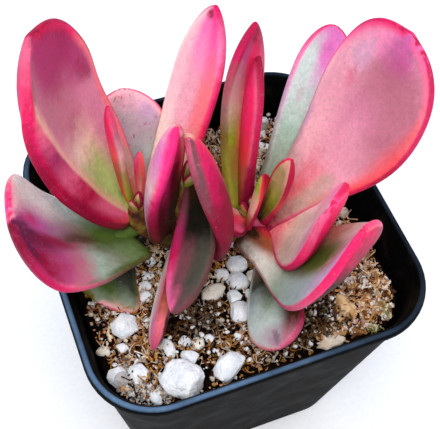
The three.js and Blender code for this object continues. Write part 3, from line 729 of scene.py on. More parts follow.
UNBROKEN_SIZE = 1.07
BREAKS = 14
GRID_ACROSS = 22
FINEST_GRID = 0.00011
STONE_SMOOTH_BELOW = 38
for number, (name, height) in enumerate(STONES.items()):
    chance = random.Random(60 + number)
    low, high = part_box(name)
    middle = (low + high) / 2
    reach = (high - low) / 2
    rock = bmesh.new()
    rock.from_mesh(frame["nodes"][name].data)
    bmesh.ops.remove_doubles(rock, verts=rock.verts, dist=1e-6)
    for v in rock.verts:
        v.co = middle + (v.co - middle) * UNBROKEN_SIZE
    # Broken by chance along planes, each of which leaves a flat face.
    for i in range(BREAKS):
        facing = Vector([chance.gauss(0, 1) for _ in range(3)]).normalized()
        depth = chance.uniform(0.8, 0.97)
        spot = middle + Vector([a * b * depth for a, b in zip(facing, reach)])
        slope = Vector([a / b for a, b in zip(facing, reach)]).normalized()
        broken = bmesh.ops.bisect_plane(
            rock, geom=rock.verts[:] + rock.edges[:] + rock.faces[:], plane_co=spot, plane_no=slope,
            clear_outer=True,
        )
        rim = [e for e in broken["geom_cut"] if isinstance(e, bmesh.types.BMEdge)]
        bmesh.ops.edgeloop_fill(rock, edges=rim)
    cage = bpy.data.meshes.new(name + "_rock")
    rock.to_mesh(cage)
    rock.free()
    made = put(name + "_rock", cage)
    worn = made.modifiers.new("worn", "REMESH")
    worn.mode = "VOXEL"
    worn.voxel_size = max(max(reach) / GRID_ACROSS, FINEST_GRID)
    rounded = made.modifiers.new("rounded", "SMOOTH")
    rounded.factor = 0.5
    rounded.iterations = 6
    settle(made)
    lumpy = LUMPY.get(name, 0.0)
    sunk = made.data.attributes.new("sunk", "FLOAT", "POINT")
    # Dented in three sizes, from 3 mm down to half a millimetre, and a lumpy stone deeper still.
    for v in made.data.vertices:
        chip = noise.noise(v.co * 700 + Vector((number, 0, 0))) * 0.06
        chip += noise.noise(v.co * 330 + Vector((0, 0, number))) * 0.1 + noise.noise(v.co * 2200) * 0.03
        chip -= lumpy * abs(noise.noise(v.co * 520 + Vector((0, number, 0)))) * 1.6
        v.co = middle + (v.co - middle) * (1 + chip)
        above = v.co.z / MM - mix_height(v.co.x / MM, v.co.y / MM)
        sunk.data[v.index].value = min(max(1.1 - above / (0.28 * height), 0), 1)
        if name in STAINS and (v.co / MM - Vector(STAINS[name][0])).length < STAINS[name][1]:
            sunk.data[v.index].value = 1.1
    made.data.materials.clear()
    made.data.materials.append(STONE_FINISH.get(name, pumice))
    made.data.shade_smooth()
    made.data.set_sharp_from_angle(angle=math.radians(STONE_SMOOTH_BELOW))
    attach(made, "root")
    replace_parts(made, name)


# The stem: one short fleshy trunk that forks into three crowns, green where it is young and
# corky brown below, ringed by the scars of older leaves.
# Each limb has points of x, y, z and radius in millimetres.
LIMBS = {
    "trunk": [(-6, 4, 44, 3.2), (-6, 3.6, 52, 3.6), (-6.5, 3, 60, 3.8)],
    "left": [(-6.5, 3.2, 56, 3.2), (-12.5, 4.2, 62, 3), (-17, 4.6, 68, 2.7), (-17.6, 4.6, 74, 1.6)],
    "centre": [(-6.5, 3, 57, 3.4), (-7.6, 1.6, 66, 3), (-7.8, 1.2, 74, 2.7), (-7, 2, 81, 1.5)],
    "right": [(-6, 2.6, 56, 3.2), (-0.6, -0.6, 62, 3), (3.6, -3.4, 68, 2.7), (4.2, -4.2, 74.5, 1.6)],
}


def along_limb(points, t):
    """Place and radius at a share t of the way along a limb, on a smooth curve through its points."""
    reach = t * (len(points) - 1)
    i = min(int(reach), len(points) - 2)
    part = reach - i
    a, b = Vector(points[max(i - 1, 0)]), Vector(points[i])
    c, d = Vector(points[i + 1]), Vector(points[min(i + 2, len(points) - 1)])
    bend = 2 * b + (c - a) * part
    bend += (2 * a - 5 * b + 4 * c - d) * part**2 + (3 * b - a - 3 * c + d) * part**3
    return bend / 2


SCAR_WAVES = 40
BLUNT_END = 0.3


def limb_skin(points, sides=20, steps=22, scar_depth=0.0):
    """Points and faces of a round limb with blunt ends, ringed by scars to a share of its radius."""
    rings = []
    for i in range(steps + 1):
        t = i / steps
        here = along_limb(points, t)
        ahead = along_limb(points, min(t + 0.02, 1))
        behind = along_limb(points, max(t - 0.02, 0))
        way = (ahead - behind).to_3d().normalized()
        across = Vector((1, 0, 0)).cross(way).normalized()
        up = way.cross(across)
        radius = here[3] * (1 + scar_depth * math.sin(t * SCAR_WAVES))
        ring = []
        for j in range(sides):
            turn = j / sides * 2 * math.pi
            ring.append(here.to_3d() + (across * math.cos(turn) + up * math.sin(turn)) * radius)
        rings.append(ring)
    first = along_limb(points, 0).to_3d() - Vector((0, 0, BLUNT_END))
    last = along_limb(points, 1).to_3d() + Vector((0, 0, BLUNT_END))
    return loft(rings, first, last)


# Stem skin: dull corky brown below, and smooth, green and red-brown where it is young.
stem_finish, tree = new_material("fleshy_stem_skin")
where = add(tree, "TexCoord").outputs["Object"]
height = add(tree, "SeparateXYZ", where).outputs["Z"]
bark_cloud = add(tree, "TexNoise", where, scale=380, detail=5)
young = add(tree, "MapRange", height, 0.056, 0.07, interpolation_type="SMOOTHSTEP")
corky = add(tree, "ValToRGB", bark_cloud, stops=[(0.35, "#2a160e"), (0.65, "#5e3c24")])
fresh = add(tree, "ValToRGB", bark_cloud, stops=[(0.32, "#3c1a0e"), (0.5, "#6a3c14"), (0.7, "#94862c")])
stem_colour = add(tree, "Mix", young, corky, fresh, data_type="RGBA")
bark_bump = add(tree, "Bump", height=bark_cloud, strength=0.5, distance=0.0005)
stem_skin = add(
    tree, "BsdfPrincipled", base_color=stem_colour, roughness=0.6, subsurface_weight=0.1,
    subsurface_scale=0.001, normal=bark_bump,
)
add(tree, "OutputMaterial", stem_skin)
stem_points, stem_faces = [], []
for points in LIMBS.values():
    limb_points, limb_faces = limb_skin(points, scar_depth=0.04)
    start = len(stem_points)
    stem_points += limb_points
    stem_faces += [tuple(start + k for k in face) for face in limb_faces]
stem = new_piece("forked_stem", stem_points, stem_faces, stem_finish, smooth_below=60)
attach(stem, "root")
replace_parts(stem, "stem")


# The leaves: thick fleshy spoons that sit in pairs round each crown. Each is waxy and a little
# translucent, thick along the middle, rounded at the margin, and narrowed to a foot on the stem.
def leaf_width(u, wide, neck, waist, point):
    """Share of the greatest width at a share u of the way from the foot to the tip."""
    if u < wide:
        return neck + (1 - neck) * math.sin(math.pi / 2 * u / wide) ** waist
    return max(math.cos(math.pi / 2 * (u - wide) / (1 - wide)), 0) ** point


MIDRIB_STEPS = 200
MARGIN_STEPS = 120
NEAR_TIP = 0.9985
FLATTEST = 0.5
ROUND_ACROSS, ROUND_UP = 0.85, 0.8
UPPER_SHARE, LOWER_SHARE = 0.4, 0.6


def leaf_blade(
    at, heading, rise, curl, bow, sweep, length, width, roll, twist, cup, wide, neck, waist, point,
    thick, gain=0.0, fold=(0, 1, 0, 1), ripple=0.0, channel=0.0, below=24, above=24, around=44,
):
    """Points and faces of a blade in millimetres, and what its skin needs at each point: how far
    along and across it is, its distance from the margin, whether it is the upper face, and how
    far it lies beyond the crease.

    at is the foot. The midrib sets out at heading and rise, and turns by sweep and curl, the curl
    later with a greater bow. roll tilts the blade, and twist turns it on towards the tip. Each half
    bends up by cup, which changes by gain towards the tip. All angles are in degrees. wide is where it is
    widest, neck its width at the foot, and waist and point shape its outline below and above. fold
    is a crease by the left margin: how steep, how far across, and where along it starts and ends.
    ripple waves the margins, and channel sinks the midrib."""
    def course(u):
        """Slope, compass turn and direction of the midrib at a share u of the way along it."""
        e, h = math.radians(rise + curl * u**bow), math.radians(heading + sweep * u)
        return e, h, Vector((math.cos(e) * math.cos(h), math.cos(e) * math.sin(h), math.sin(e)))

    middle = [Vector(at)]
    for i in range(MIDRIB_STEPS):
        middle.append(middle[-1] + course((i + 0.5) / MIDRIB_STEPS)[2] * length / MIDRIB_STEPS)
    outline = []
    for i in range(MARGIN_STEPS + 1):
        u = min(i / MARGIN_STEPS, NEAR_TIP)
        half = width / 2 * leaf_width(u, wide, neck, waist, point)
        outline += [(u * length, half), (u * length, -half)]
    rings, facts = [], []
    for i in range(below + above + 1):
        late = max(0, 1 - (1 - (i - below) / above) ** 2) if i >= below else 0
        u = wide * i / below if i < below else wide + (1 - wide) * late
        place = u * MIDRIB_STEPS
        base = middle[int(place)].lerp(middle[min(int(place) + 1, MIDRIB_STEPS)], place - int(place))
        e, h, _ = course(u)
        turn = math.radians(roll + twist * u)
        level = Vector((-math.sin(h), math.cos(h), 0))
        over = Vector((-math.sin(e) * math.cos(h), -math.sin(e) * math.sin(h), math.cos(e)))
        side = level * math.cos(turn) + over * math.sin(turn)
        up = over * math.cos(turn) - level * math.sin(turn)
        half = width / 2 * leaf_width(min(u, NEAR_TIP), wide, neck, waist, point)
        body = min(thick * (1 - 0.75 * late**4), half * 1.3 + 0.3)
        bend = math.radians(max(cup + gain * u, FLATTEST))
        radius = half / bend
        slant, crease_from, starts, ends = fold
        crease = crease_from + (1 - crease_from) * min(max((u - starts) / (ends - starts), 0), 1) ** 2
        ring = []
        for j in range(around):
            t = j / around * 2 * math.pi
            c, s = math.cos(t), math.sin(t)
            across = math.copysign(abs(c) ** ROUND_ACROSS, c)
            lift = math.copysign(abs(s) ** ROUND_UP, s) * (UPPER_SHARE if s > 0 else LOWER_SHARE)
            if s > 0:
                lift -= channel / thick * math.exp(-((across / 0.16) ** 2)) * math.sin(math.pi * u)
            # A slow and a quick wave, the slow one growing towards the margins.
            wave = ripple * across**2 * math.sin(9 * u + 2.1 * across + length)
            wave += ripple * 0.5 * math.sin(17 * u + 4 * across)
            x = (radius - body * lift) * math.sin(bend * across)
            z = radius * (1 - math.cos(bend * across)) + body * lift * math.cos(bend * across)
            z -= slant * half * max(0, across - crease)
            ring.append(base + side * x + up * (z + wave * min(u * 4, 1)))
            spot = (u * length, across * half)
            rim = min(math.dist(spot, q) for q in outline)
            facts.append((u, across, rim, 0.5 + 0.5 * max(-1, min(1, s * 3)), (across - crease) * half))
        rings.append(ring)
    points, faces = loft(rings, middle[0] - course(0)[2] * 0.2, middle[-1] + course(1)[2] * 0.1)
    facts = [(0, 0, 5, 1, -5)] + facts + [(1, 0, 0, 0.5, -5)]
    return points, faces, facts, middle[round(MIDRIB_STEPS * 0.1)]


# What leaf_blade gives for each point, in the same order.
LEAF_FACTS = ("along", "across", "rim", "upper", "beyond")

# One palette for the whole plant, from the green feet to the sun-flushed margins. Its darkest words, shade
# and night, are painted shade for parts of leaves that lie under others.
PALETTE = {
    "sap": "#8f9c2c", "fresh": "#b4ce7c", "fern": "#6f8c58", "moss": "#4a6224", "sage": "#8c9a84",
    "haze": "#bcc8c2", "mist": "#98a5a3", "ash": "#b09da4", "sand": "#c8aea0", "clay": "#bf9f90",
    "khaki": "#ae9464", "cream": "#f0d9c2", "peach": "#e6ad98", "petal": "#f2b4bd",
    "blush": "#e59dae", "tearose": "#d2829c", "mauve": "#b96f80", "dusk": "#9c7286",
    "bubble": "#fa82b4", "candy": "#f5629c", "rose": "#d65a7c", "lilac": "#c9a2c2",
    "orchid": "#e07cc0", "thistle": "#cc62a4", "heather": "#ac4470",
    "berry": "#a22a5c", "magenta": "#c81256", "hot": "#ea2362", "salmon": "#ee7680",
    "coral": "#ee565c", "flame": "#d9343a", "crimson": "#ae0a3c", "garnet": "#8c0a32",
    "wine": "#680a26", "plum": "#521838", "rust": "#a4583a", "dun": "#8a6c66", "olive": "#6c6222",
    "umber": "#46280f", "bark": "#2e1c0e", "fig": "#70424a", "slate": "#45443a",
    "shade": "#343a2c", "night": "#12160e", "neon": "#ff2f80", "jade": "#9db8a6",
    "shell": "#ecc8c6", "pale": "#e2dcd2", "milk": "#fbf6ee", "frost": "#d2dde3", "lime": "#9aa334",
}


def leaf_finish(
    name, upper, under, margins, line=("garnet garnet", "garnet garnet", 0.4), marks=(), freckles=0.06,
    bloom=0.04, strip=None,
):
    """Waxy leaf skin. upper has the flush of the left side, middle and right side of the upper
    face from foot to tip, under that of the left and right side below, and margins that of both
    edges and their width. line is the thin sun-burnt line at the very margin, given as margins are.
    marks are soft blotches: place along and across, half-sizes, colour and strength. strip is the
    flush of the part beyond a crease."""
    made, tree = new_material(name)
    where = add(tree, "TexCoord").outputs["Object"]
    along, across, rim, face, beyond = [
        add(tree, "Attribute", attribute_name=label).outputs["Fac"] for label in LEAF_FACTS
    ]
    # The flush drifts in clouds of 8 mm and mottles of 2 mm.
    cloud = add(tree, "TexNoise", where, scale=125, detail=3)
    mottle = add(tree, "TexNoise", where, scale=560, detail=6, roughness=0.68)
    drift = add(tree, "MapRange", cloud, 0, 1, -0.1, 0.1)
    stir = add(tree, "MapRange", mottle, 0, 1, -0.08, 0.08)
    shift = add(tree, "Math", drift, stir, operation="ADD")
    u = add(tree, "Math", along, shift, operation="ADD")
    s = add(tree, "Math", shift, 0.8, across, operation="MULTIPLY_ADD")
    flushes = []
    for words in (*upper, *under, *margins[:2], *line[:2], strip or upper[0]):
        codes = [PALETTE[word] for word in words.split()]
        stops = [(i / (len(codes) - 1), code) for i, code in enumerate(codes)]
        flushes.append(add(tree, "ValToRGB", u, stops=stops))
    left, centre, right, under_left, under_right = flushes[:5]
    edge_left, edge_right, line_left, line_right, folded = flushes[5:]
    below = add(tree, "MapRange", s, -0.35, 0.35, interpolation_type="SMOOTHSTEP")
    bottom = add(tree, "Mix", below, under_right, under_left, data_type="RGBA")
    trembling = add(tree, "Math", shift, 0.8, rim, operation="MULTIPLY_ADD")
    which_edge = add(tree, "MapRange", across, -0.3, 0.3, interpolation_type="SMOOTHSTEP")
    edge = add(tree, "Mix", which_edge, edge_right, edge_left, data_type="RGBA")
    burnt = add(tree, "Mix", which_edge, line_right, line_left, data_type="RGBA")
    ragged = add(tree, "Math", shift, 4, rim, operation="MULTIPLY_ADD")
    grain = add(tree, "TexNoise", where, scale=1500, detail=3, roughness=0.6)
    freckle = add(tree, "TexNoise", where, scale=880, detail=2)
    grazing = add(tree, "LayerWeight", blend=0.25).outputs["Facing"]
    # Each layer: what places it, where it begins, where it is full, how strong, and its colour.
    layers = [(s, -0.1, -0.62, 1.0, right), (s, 0.1, 0.62, 1.0, left)]
    if strip:
        # A painted highlight in peach along the ridge just before the crease, then the flush of the strip
        # beyond it.
        layers += [(beyond, -3.2, -0.7, 0.75, rgb(PALETTE["peach"])), (beyond, -0.5, 0.5, 1.0, folded)]
    for place_u, place_s, size_u, size_s, word, strength in marks:
        spot = add(tree, "CombineXYZ", x=u, y=s)
        offset = add(tree, "VectorMath", spot, (place_u, place_s, 0), operation="SUBTRACT")
        scaled = add(tree, "VectorMath", offset, (1 / size_u, 1 / size_s, 0), operation="MULTIPLY")
        far = add(tree, "VectorMath", scaled, operation="LENGTH")
        layers.append((far, 1.1, 0.2, strength, rgb(PALETTE[word])))
    band = margins[2]
    layers += [
        (face, 0.65, 0.35, 1, bottom),
        (ragged, band * 1.15, band * 0.25, 1, edge),
        (trembling, line[2] * 1.2, line[2] * 0.4, 0.9, burnt),
        (rim, 0.3, 0.05, 0.25, rgb(PALETTE["garnet"])),
        (freckle, 0.58, 0.72, freckles, rgb("#a03060")),
        (grain, 0.56, 0.7, freckles, rgb("#8c3050")),
        # A pale waxy bloom in fine grains, and a painted sheen that pales the skin towards grazing angles.
        (grain, 0.42, 0.28, bloom * 2, rgb("#f3e3e4")),
        (grazing, 0.35, 1, bloom, rgb("#f3dde6")),
    ]
    skin = centre
    for value, begins, full, strength, colour in layers:
        amount = add(tree, "MapRange", value, begins, full, 0, strength, interpolation_type="SMOOTHSTEP")
        skin = add(tree, "Mix", amount, skin, colour, data_type="RGBA")
    relief = add(tree, "Math", mottle, grain, operation="ADD")
    tone = add(tree, "MapRange", relief, 0.7, 1.3, 0.84, 1.17)
    toned = add(tree, "VectorMath", skin, tone, operation="SCALE")
    bump = add(tree, "Bump", height=relief, strength=0.28, distance=0.0004)
    rough = add(tree, "MapRange", mottle, 0.3, 0.7, 0.42, 0.6)
    body = add(
        tree, "BsdfPrincipled", base_color=toned, roughness=rough, ior=1.38, specular_ior_level=0.14,
        subsurface_weight=0.14, subsurface_radius=(1, 0.35, 0.3), subsurface_scale=0.0014, coat_weight=0.05,
        coat_roughness=0.35, normal=bump,
    )
    add(tree, "OutputMaterial", body)
    return made


LIMB_SPOTS = 60
FREE_FOOT = 2


def grow_leaf(name, crown, shape, finish):
    """Builds one leaf on its crown, with the short foot that joins it to the stem where it stands
    further than FREE_FOOT millimetres from the middle of the limb."""
    points, faces, facts, inside = leaf_blade(**shape)
    foot = Vector(shape["at"])
    spots = [along_limb(LIMBS[crown], i / LIMB_SPOTS).to_3d() for i in range(LIMB_SPOTS + 1)]
    root = min(spots, key=lambda spot: (spot - foot).length)
    if (root - foot).length > FREE_FOOT:
        radius = min(shape["thick"] * 0.42, shape["width"] * shape["neck"] * 0.4)
        start = len(points)
        neck = [(*(root - Vector((0, 0, 0.5))), radius), (*inside, radius)]
        foot_points, foot_faces = limb_skin(neck, sides=16, steps=6)
        points += foot_points
        faces += [tuple(start + k for k in face) for face in foot_faces]
        facts += [(0.02, 0, 5, 1, -5)] * len(foot_points)
    made = new_piece(name, points, faces, finish, smooth_below=180)
    for k, label in enumerate(LEAF_FACTS):
        values = made.data.attributes.new(label, "FLOAT", "POINT")
        values.data.foreach_set("value", [fact[k] for fact in facts])
    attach(made, "root")
    return made


SKIN_TRAITS = ("upper", "under", "margins", "line", "marks", "freckles", "bloom", "strip")


def leaf(name, **traits):
    """One leaf in the place of its node, on the crown that its name gives."""
    skin = {trait: traits.pop(trait) for trait in SKIN_TRAITS if trait in traits}
    finish = leaf_finish(name + "_skin", **skin)
    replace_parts(grow_leaf(name + "_blade", name.split("_")[1], traits, finish), name)


# Growing tips: a pair of tiny upright leaves at the top of each crown, which grow from the very
# end of the limb. They are yellow-green and smooth, with a thin red edge.
tip_skin = leaf_finish(
    "young_leaf_skin", upper=("olive sap peach", "sap sap cream", "olive sap peach"),
    under=("olive sap peach", "olive sap peach"), margins=("umber flame coral", "umber flame coral", 0.4),
)
for crown, heading, length in [("left", 35, 5), ("centre", 80, 7), ("right", 20, 5)]:
    x, y, z, _ = LIMBS[crown][-1]
    for side, half_turn in (("a", 0), ("b", 180)):
        tip = dict(
            at=(x, y, z - 2), heading=heading + half_turn, rise=74, curl=8, bow=1, sweep=0,
            length=length + 1, width=2.4, roll=0, twist=0, cup=35, wide=0.5, neck=0.6, waist=1.2,
            point=0.7, thick=1.1, below=8, above=10, around=20,
        )
        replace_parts(grow_leaf(f"growing_tip_{crown}_{side}", crown, tip, tip_skin), "stem")


# The left crown: a tall boat-shaped leaf at the back left, a wide one low at the left over a
# shaded one, a rounded one at the back, and two young red ones inside.
leaf(
    "leaf_left_tall", at=(-17.9, 6.8, 69.1), heading=145, rise=43, curl=45, bow=0.64,
    sweep=1, length=52.5, width=28.8, roll=2, twist=-1, cup=42, gain=-18, wide=0.63, neck=0.32,
    waist=0.7, point=0.37, thick=4.4, fold=(0.5, 0.5, 0.2, 0.95), ripple=0.35,
    upper=("cream fresh fresh sand tearose mauve mauve berry",
           "sap fresh fresh cream mauve mauve heather berry",
           "coral clay tearose tearose tearose heather berry garnet"),
    under=("umber garnet garnet rose magenta magenta", "umber olive heather rose garnet wine"),
    margins=("coral crimson garnet crimson crimson magenta hot rose",
             "clay clay salmon salmon salmon salmon hot crimson", 2.4),
    line=("umber garnet garnet crimson garnet crimson hot rose",
          "garnet rose rose rose rose garnet magenta garnet", 0.6),
    strip="coral rose crimson rose berry rose salmon candy",
    marks=[(0.86, -0.15, 0.2, 0.75, "berry", 0.9), (0.68, -0.7, 0.07, 0.2, "garnet", 0.5),
           (0.98, -0.34, 0.05, 0.2, "wine", 0.7), (0.88, 0.78, 0.04, 0.22, "umber", 0.6)],
)
# The umber and plum marks along its midrib are painted shade in the sunken channel.
leaf(
    "leaf_left_wide", at=(-20.2, 2.6, 65), heading=191, rise=28, curl=33, bow=1.19,
    sweep=-14, length=33, width=30.7, roll=15, twist=-13, cup=16, gain=-8, wide=0.73, neck=0.53,
    waist=1.47, point=0.45, thick=4, ripple=0.25, channel=0.7,
    upper=("moss fern sage jade mauve heather garnet plum",
           "moss moss moss dun dusk thistle thistle berry",
           "moss moss sage haze milk milk milk petal"),
    under=("olive moss bark wine wine garnet", "olive sage haze blush wine candy"),
    margins=("moss fern moss sage dun rose berry garnet",
             "moss moss clay milk milk milk milk neon", 1.4),
    line=("moss moss dun rose magenta wine", "moss clay shell milk petal hot", 0.5),
    marks=[(0.84, -0.12, 0.1, 0.2, "magenta", 0.6), (0.85, 0.26, 0.22, 0.3, "wine", 0.9),
           (0.65, 0.17, 0.24, 0.24, "garnet", 0.9), (0.42, 0.03, 0.2, 0.18, "umber", 0.8),
           (1.0, 0.5, 0.14, 0.75, "plum", 1.0),
           (0.95, 0.05, 0.1, 0.3, "plum", 0.8)],
)
# It lies under the wide leaf, and its night and shade tones are painted shade over its own green.
leaf(
    "leaf_left_low", at=(-19.7, 1.4, 61.8), heading=-154, rise=-16, curl=11, bow=1, sweep=19,
    length=14, width=18.5, roll=-21, twist=-7, cup=4, gain=-28, wide=0.76, neck=0.2, waist=2.02,
    point=0.4, thick=3.5,
    upper=("night night shade sage peach", "night night shade moss sage",
           "night umber shade moss olive"),
    under=("moss shade sage peach", "moss shade shade olive"),
    margins=("shade shade moss peach petal", "night umber olive olive", 1.2),
    line=("shade shade rose candy coral", "night umber olive olive", 0.4),
)
leaf(
    "leaf_left_back", at=(-15.4, 9.1, 66), heading=82, rise=40, curl=8, bow=1.05, sweep=1,
    length=26.5, width=17.1, roll=0, twist=-1, cup=15, wide=0.68, neck=0.4, waist=1.3, point=0.53,
    thick=3,
    upper=("sage sage mist ash clay blush", "sage sage mist ash ash blush",
           "sage sage haze ash lilac petal"),
    under=("sage sage ash rose", "sage sage ash rose"),
    margins=("clay blush salmon petal petal petal", "clay blush blush petal petal petal", 1.4),
    line=("clay rose rose candy garnet rose", "clay salmon salmon candy candy rose", 0.4),
    marks=[(0.62, -0.1, 0.02, 0.04, "plum", 0.9), (0.94, -0.35, 0.03, 0.08, "rust", 0.6),
           (0.93, 0.1, 0.03, 0.08, "rust", 0.6), (0.93, 0.4, 0.03, 0.08, "umber", 0.5)],
    freckles=0.4, bloom=0.12,
)
leaf(
    "leaf_left_inner", at=(-17.8, 6.5, 72.4), heading=121, rise=70, curl=12, bow=0.74,
    sweep=-20, length=27.5, width=6.3, roll=58, twist=11, cup=37, gain=3, wide=0.65, neck=0.33,
    waist=1.31, point=0.54, thick=2.3,
    upper=("sap olive clay blush mauve rose", "sap sap peach mauve mauve rose",
           "sap olive mauve mauve rose coral"),
    under=("rust flame rust coral hot hot", "umber flame flame neon neon salmon"),
    margins=("lime lime khaki clay mauve hot", "wine flame coral hot hot rose", 0.8),
    line=("lime lime khaki petal mauve hot", "wine crimson crimson crimson hot crimson", 0.4),
)
leaf(
    "leaf_left_bud", at=(-15.9, 5.8, 72.9), heading=82, rise=82, curl=5, bow=0.89, sweep=-8,
    length=16, width=3.6, roll=-58, twist=-9, cup=32, gain=-3, wide=0.63, neck=0.36, waist=1.4,
    point=0.55, thick=1.6,
    upper=("coral coral coral hot candy salmon", "coral salmon salmon coral neon candy",
           "peach peach peach khaki coral neon"),
    under=("coral salmon coral", "clay sand clay salmon"),
    margins=("coral coral hot candy", "salmon peach clay salmon", 0.5),
    line=("coral coral hot hot", "salmon coral coral coral", 0.3),
)


# The centre crown: a raised pair towards the front, a drooping front leaf with a narrow one
# below it, and a tall pink one behind.
# The right side of its upper face, turned from the light, is painted near black to wine: partly its own
# colour, partly painted shade.
leaf(
    "leaf_centre_left", at=(-13.3, -0.2, 68.4), heading=114, rise=73, curl=35, bow=0.62,
    sweep=18, length=39, width=11.6, roll=2, twist=13, cup=59, gain=2, wide=0.58, neck=0.6,
    waist=1.14, point=0.69, thick=3.6,
    upper=("umber wine magenta neon neon hot", "bark wine neon neon neon hot",
           "night bark wine garnet neon candy"),
    under=("tearose lilac lilac shell orchid petal", "tearose lilac milk milk petal candy"),
    margins=("umber garnet magenta neon neon neon", "umber bark umber coral petal petal", 1.5),
    line=("umber garnet magenta neon neon neon", "bark bark umber rust salmon salmon", 0.5),
)
leaf(
    "leaf_centre_right", at=(-3.5, -6.4, 68.9), heading=-14, rise=75, curl=47, bow=0.74,
    sweep=-25, length=35.5, width=19, roll=12, twist=19, cup=44, gain=-11, wide=0.64, neck=0.52,
    waist=1.08, point=0.6, thick=3.6,
    upper=("wine berry sap sap coral salmon", "wine berry sap sap coral coral",
           "umber garnet wine wine umber umber"),
    under=("salmon coral mauve khaki coral hot", "garnet garnet garnet garnet magenta hot"),
    margins=("wine berry coral coral peach peach", "umber garnet garnet garnet fig fig", 1.8),
    line=("wine crimson crimson coral peach peach", "wine garnet garnet garnet fig rose", 0.4),
)
# The night and slate of its upper face, and its night mark, are painted shade from the raised pair above it,
# over its own grey-green.
leaf(
    "leaf_centre_front", at=(-5.9, 1.4, 81), heading=-103, rise=-1, curl=-28, bow=0.99,
    sweep=-33, length=28, width=12, roll=30, twist=21, cup=27, gain=-51, wide=0.66, neck=0.39,
    waist=1.44, point=0.5, thick=3.6,
    upper=("umber night night slate slate fig", "umber night night fig fig candy",
           "fig fig berry magenta candy bubble"),
    under=("night wine slate slate fig", "garnet garnet magenta magenta hot"),
    margins=("umber night night slate slate fig", "fig berry garnet berry salmon salmon", 1.0),
    line=("night night slate slate slate fig", "fig berry garnet magenta hot hot", 0.4),
    marks=[(0.3, 0.35, 0.22, 0.5, "night", 0.8)], freckles=0.02, bloom=0.01,
)
# Its left margin is painted dark towards the foot for the shade of the front leaf over it.
leaf(
    "leaf_centre_low", at=(-11.1, -3.3, 68), heading=-124, rise=-16, curl=-4, bow=1,
    sweep=3, length=23.5, width=8.2, roll=69, twist=3, cup=18, gain=2, wide=0.65, neck=0.4,
    waist=1.3, point=0.6, thick=3,
    upper=("mauve petal salmon salmon bubble candy", "wine pale petal petal bubble bubble",
           "umber sage milk milk milk petal"),
    under=("mauve rose candy umber wine", "salmon candy salmon rust wine"),
    margins=("umber umber garnet rust salmon rose", "umber sage pale petal petal salmon", 0.8),
    line=("umber umber umber rust salmon rose", "umber sage peach petal petal rose", 0.4),
)
leaf(
    "leaf_centre_back", at=(-11.2, 6.8, 71.6), heading=47, rise=38, curl=23, bow=1.16,
    sweep=1, length=42.5, width=14.3, roll=-25, twist=-10, cup=19, gain=-11, wide=0.65, neck=0.74,
    waist=1.29, point=0.59, thick=3.6,
    upper=("cream cream shell petal petal petal", "cream peach blush blush bubble candy",
           "rust clay salmon salmon candy neon"),
    under=("cream cream cream blush", "magenta crimson flame candy bubble neon"),
    margins=("clay cream cream shell pale blush", "olive rust coral salmon bubble neon", 1.2),
    line=("clay clay salmon shell petal rose", "olive flame hot neon bubble magenta", 0.6),
    marks=[(1.0, 0.0, 0.06, 0.7, "garnet", 0.9), (0.9, -0.1, 0.08, 0.4, "thistle", 0.5)],
)


# The right crown: the largest leaf spreads to the right with a grey-green one behind it, two
# upright ones stand at the back, two young ones and a short one inside, and three bend down
# over the mix.
leaf(
    "leaf_right_back", at=(3.1, -1.4, 72.4), heading=74, rise=46, curl=13, bow=1.04,
    sweep=-21, length=39.5, width=14.4, roll=50, twist=19, cup=4, gain=-7, wide=0.63, neck=0.38,
    waist=1.23, point=0.7, thick=3.4,
    upper=("sap rust sap clay heather garnet", "sap crimson coral rose hot garnet",
           "olive olive umber dun rose garnet"),
    under=("lime lime olive rose hot crimson", "olive mauve mauve wine"),
    margins=("lime lime olive dun garnet magenta", "olive mauve rose rose rose garnet", 1.1),
    line=("lime lime olive dun magenta crimson", "olive rose rose hot crimson garnet", 0.5),
    marks=[(0.12, 0.3, 0.2, 0.9, "lime", 0.7), (0.97, 0.3, 0.09, 0.8, "wine", 0.7)],
)
leaf(
    "leaf_right_edge", at=(5.1, -2.4, 73.7), heading=76, rise=49, curl=11, bow=1.18,
    sweep=-20, length=32, width=13.8, roll=86, twist=12, cup=21, gain=8, wide=0.65, neck=0.41,
    waist=1.31, point=0.7, thick=3.4,
    upper=("umber rust mauve mauve mauve mauve", "umber wine mauve mauve mauve wine",
           "umber wine rose rose rose wine"),
    under=("garnet rust flame hot hot crimson", "umber flame neon neon rose neon"),
    margins=("wine garnet rose rose rose garnet", "umber hot neon hot magenta hot", 1.2),
    line=("wine garnet crimson magenta crimson garnet", "umber hot hot crimson crimson crimson", 0.5),
)
leaf(
    "leaf_right_bud_near", at=(3.6, -7.2, 72.9), heading=47, rise=74, curl=0, bow=1.26,
    sweep=-19, length=14.5, width=6.6, roll=100, twist=8, cup=49, gain=5, wide=0.67, neck=0.46,
    waist=1.28, point=0.6, thick=1.6,
    upper=("garnet garnet flame flame crimson", "flame flame coral flame crimson",
           "crimson flame coral flame crimson"),
    under=("garnet rust peach peach sap lime", "rust rust olive umber bark umber"),
    margins=("garnet garnet crimson coral coral flame", "garnet garnet crimson flame crimson", 0.4),
    line=("garnet crimson crimson flame crimson", "garnet garnet crimson crimson crimson", 0.25),
)
leaf(
    "leaf_right_bud_far", at=(6.7, -6.5, 72.8), heading=-7, rise=68, curl=18, bow=0.76,
    sweep=-7, length=21, width=6.2, roll=17, twist=1, cup=46, gain=-4, wide=0.61, neck=0.49,
    waist=1.2, point=0.56, thick=1.9,
    upper=("umber umber olive khaki khaki peach", "bark olive lime khaki khaki peach",
           "umber olive sap khaki peach peach"),
    under=("garnet flame coral flame crimson", "garnet flame coral flame crimson crimson"),
    margins=("wine crimson flame rust rust coral", "garnet rust peach salmon coral coral", 0.5),
    line=("wine crimson crimson crimson flame hot", "garnet crimson flame crimson crimson crimson", 0.35),
)
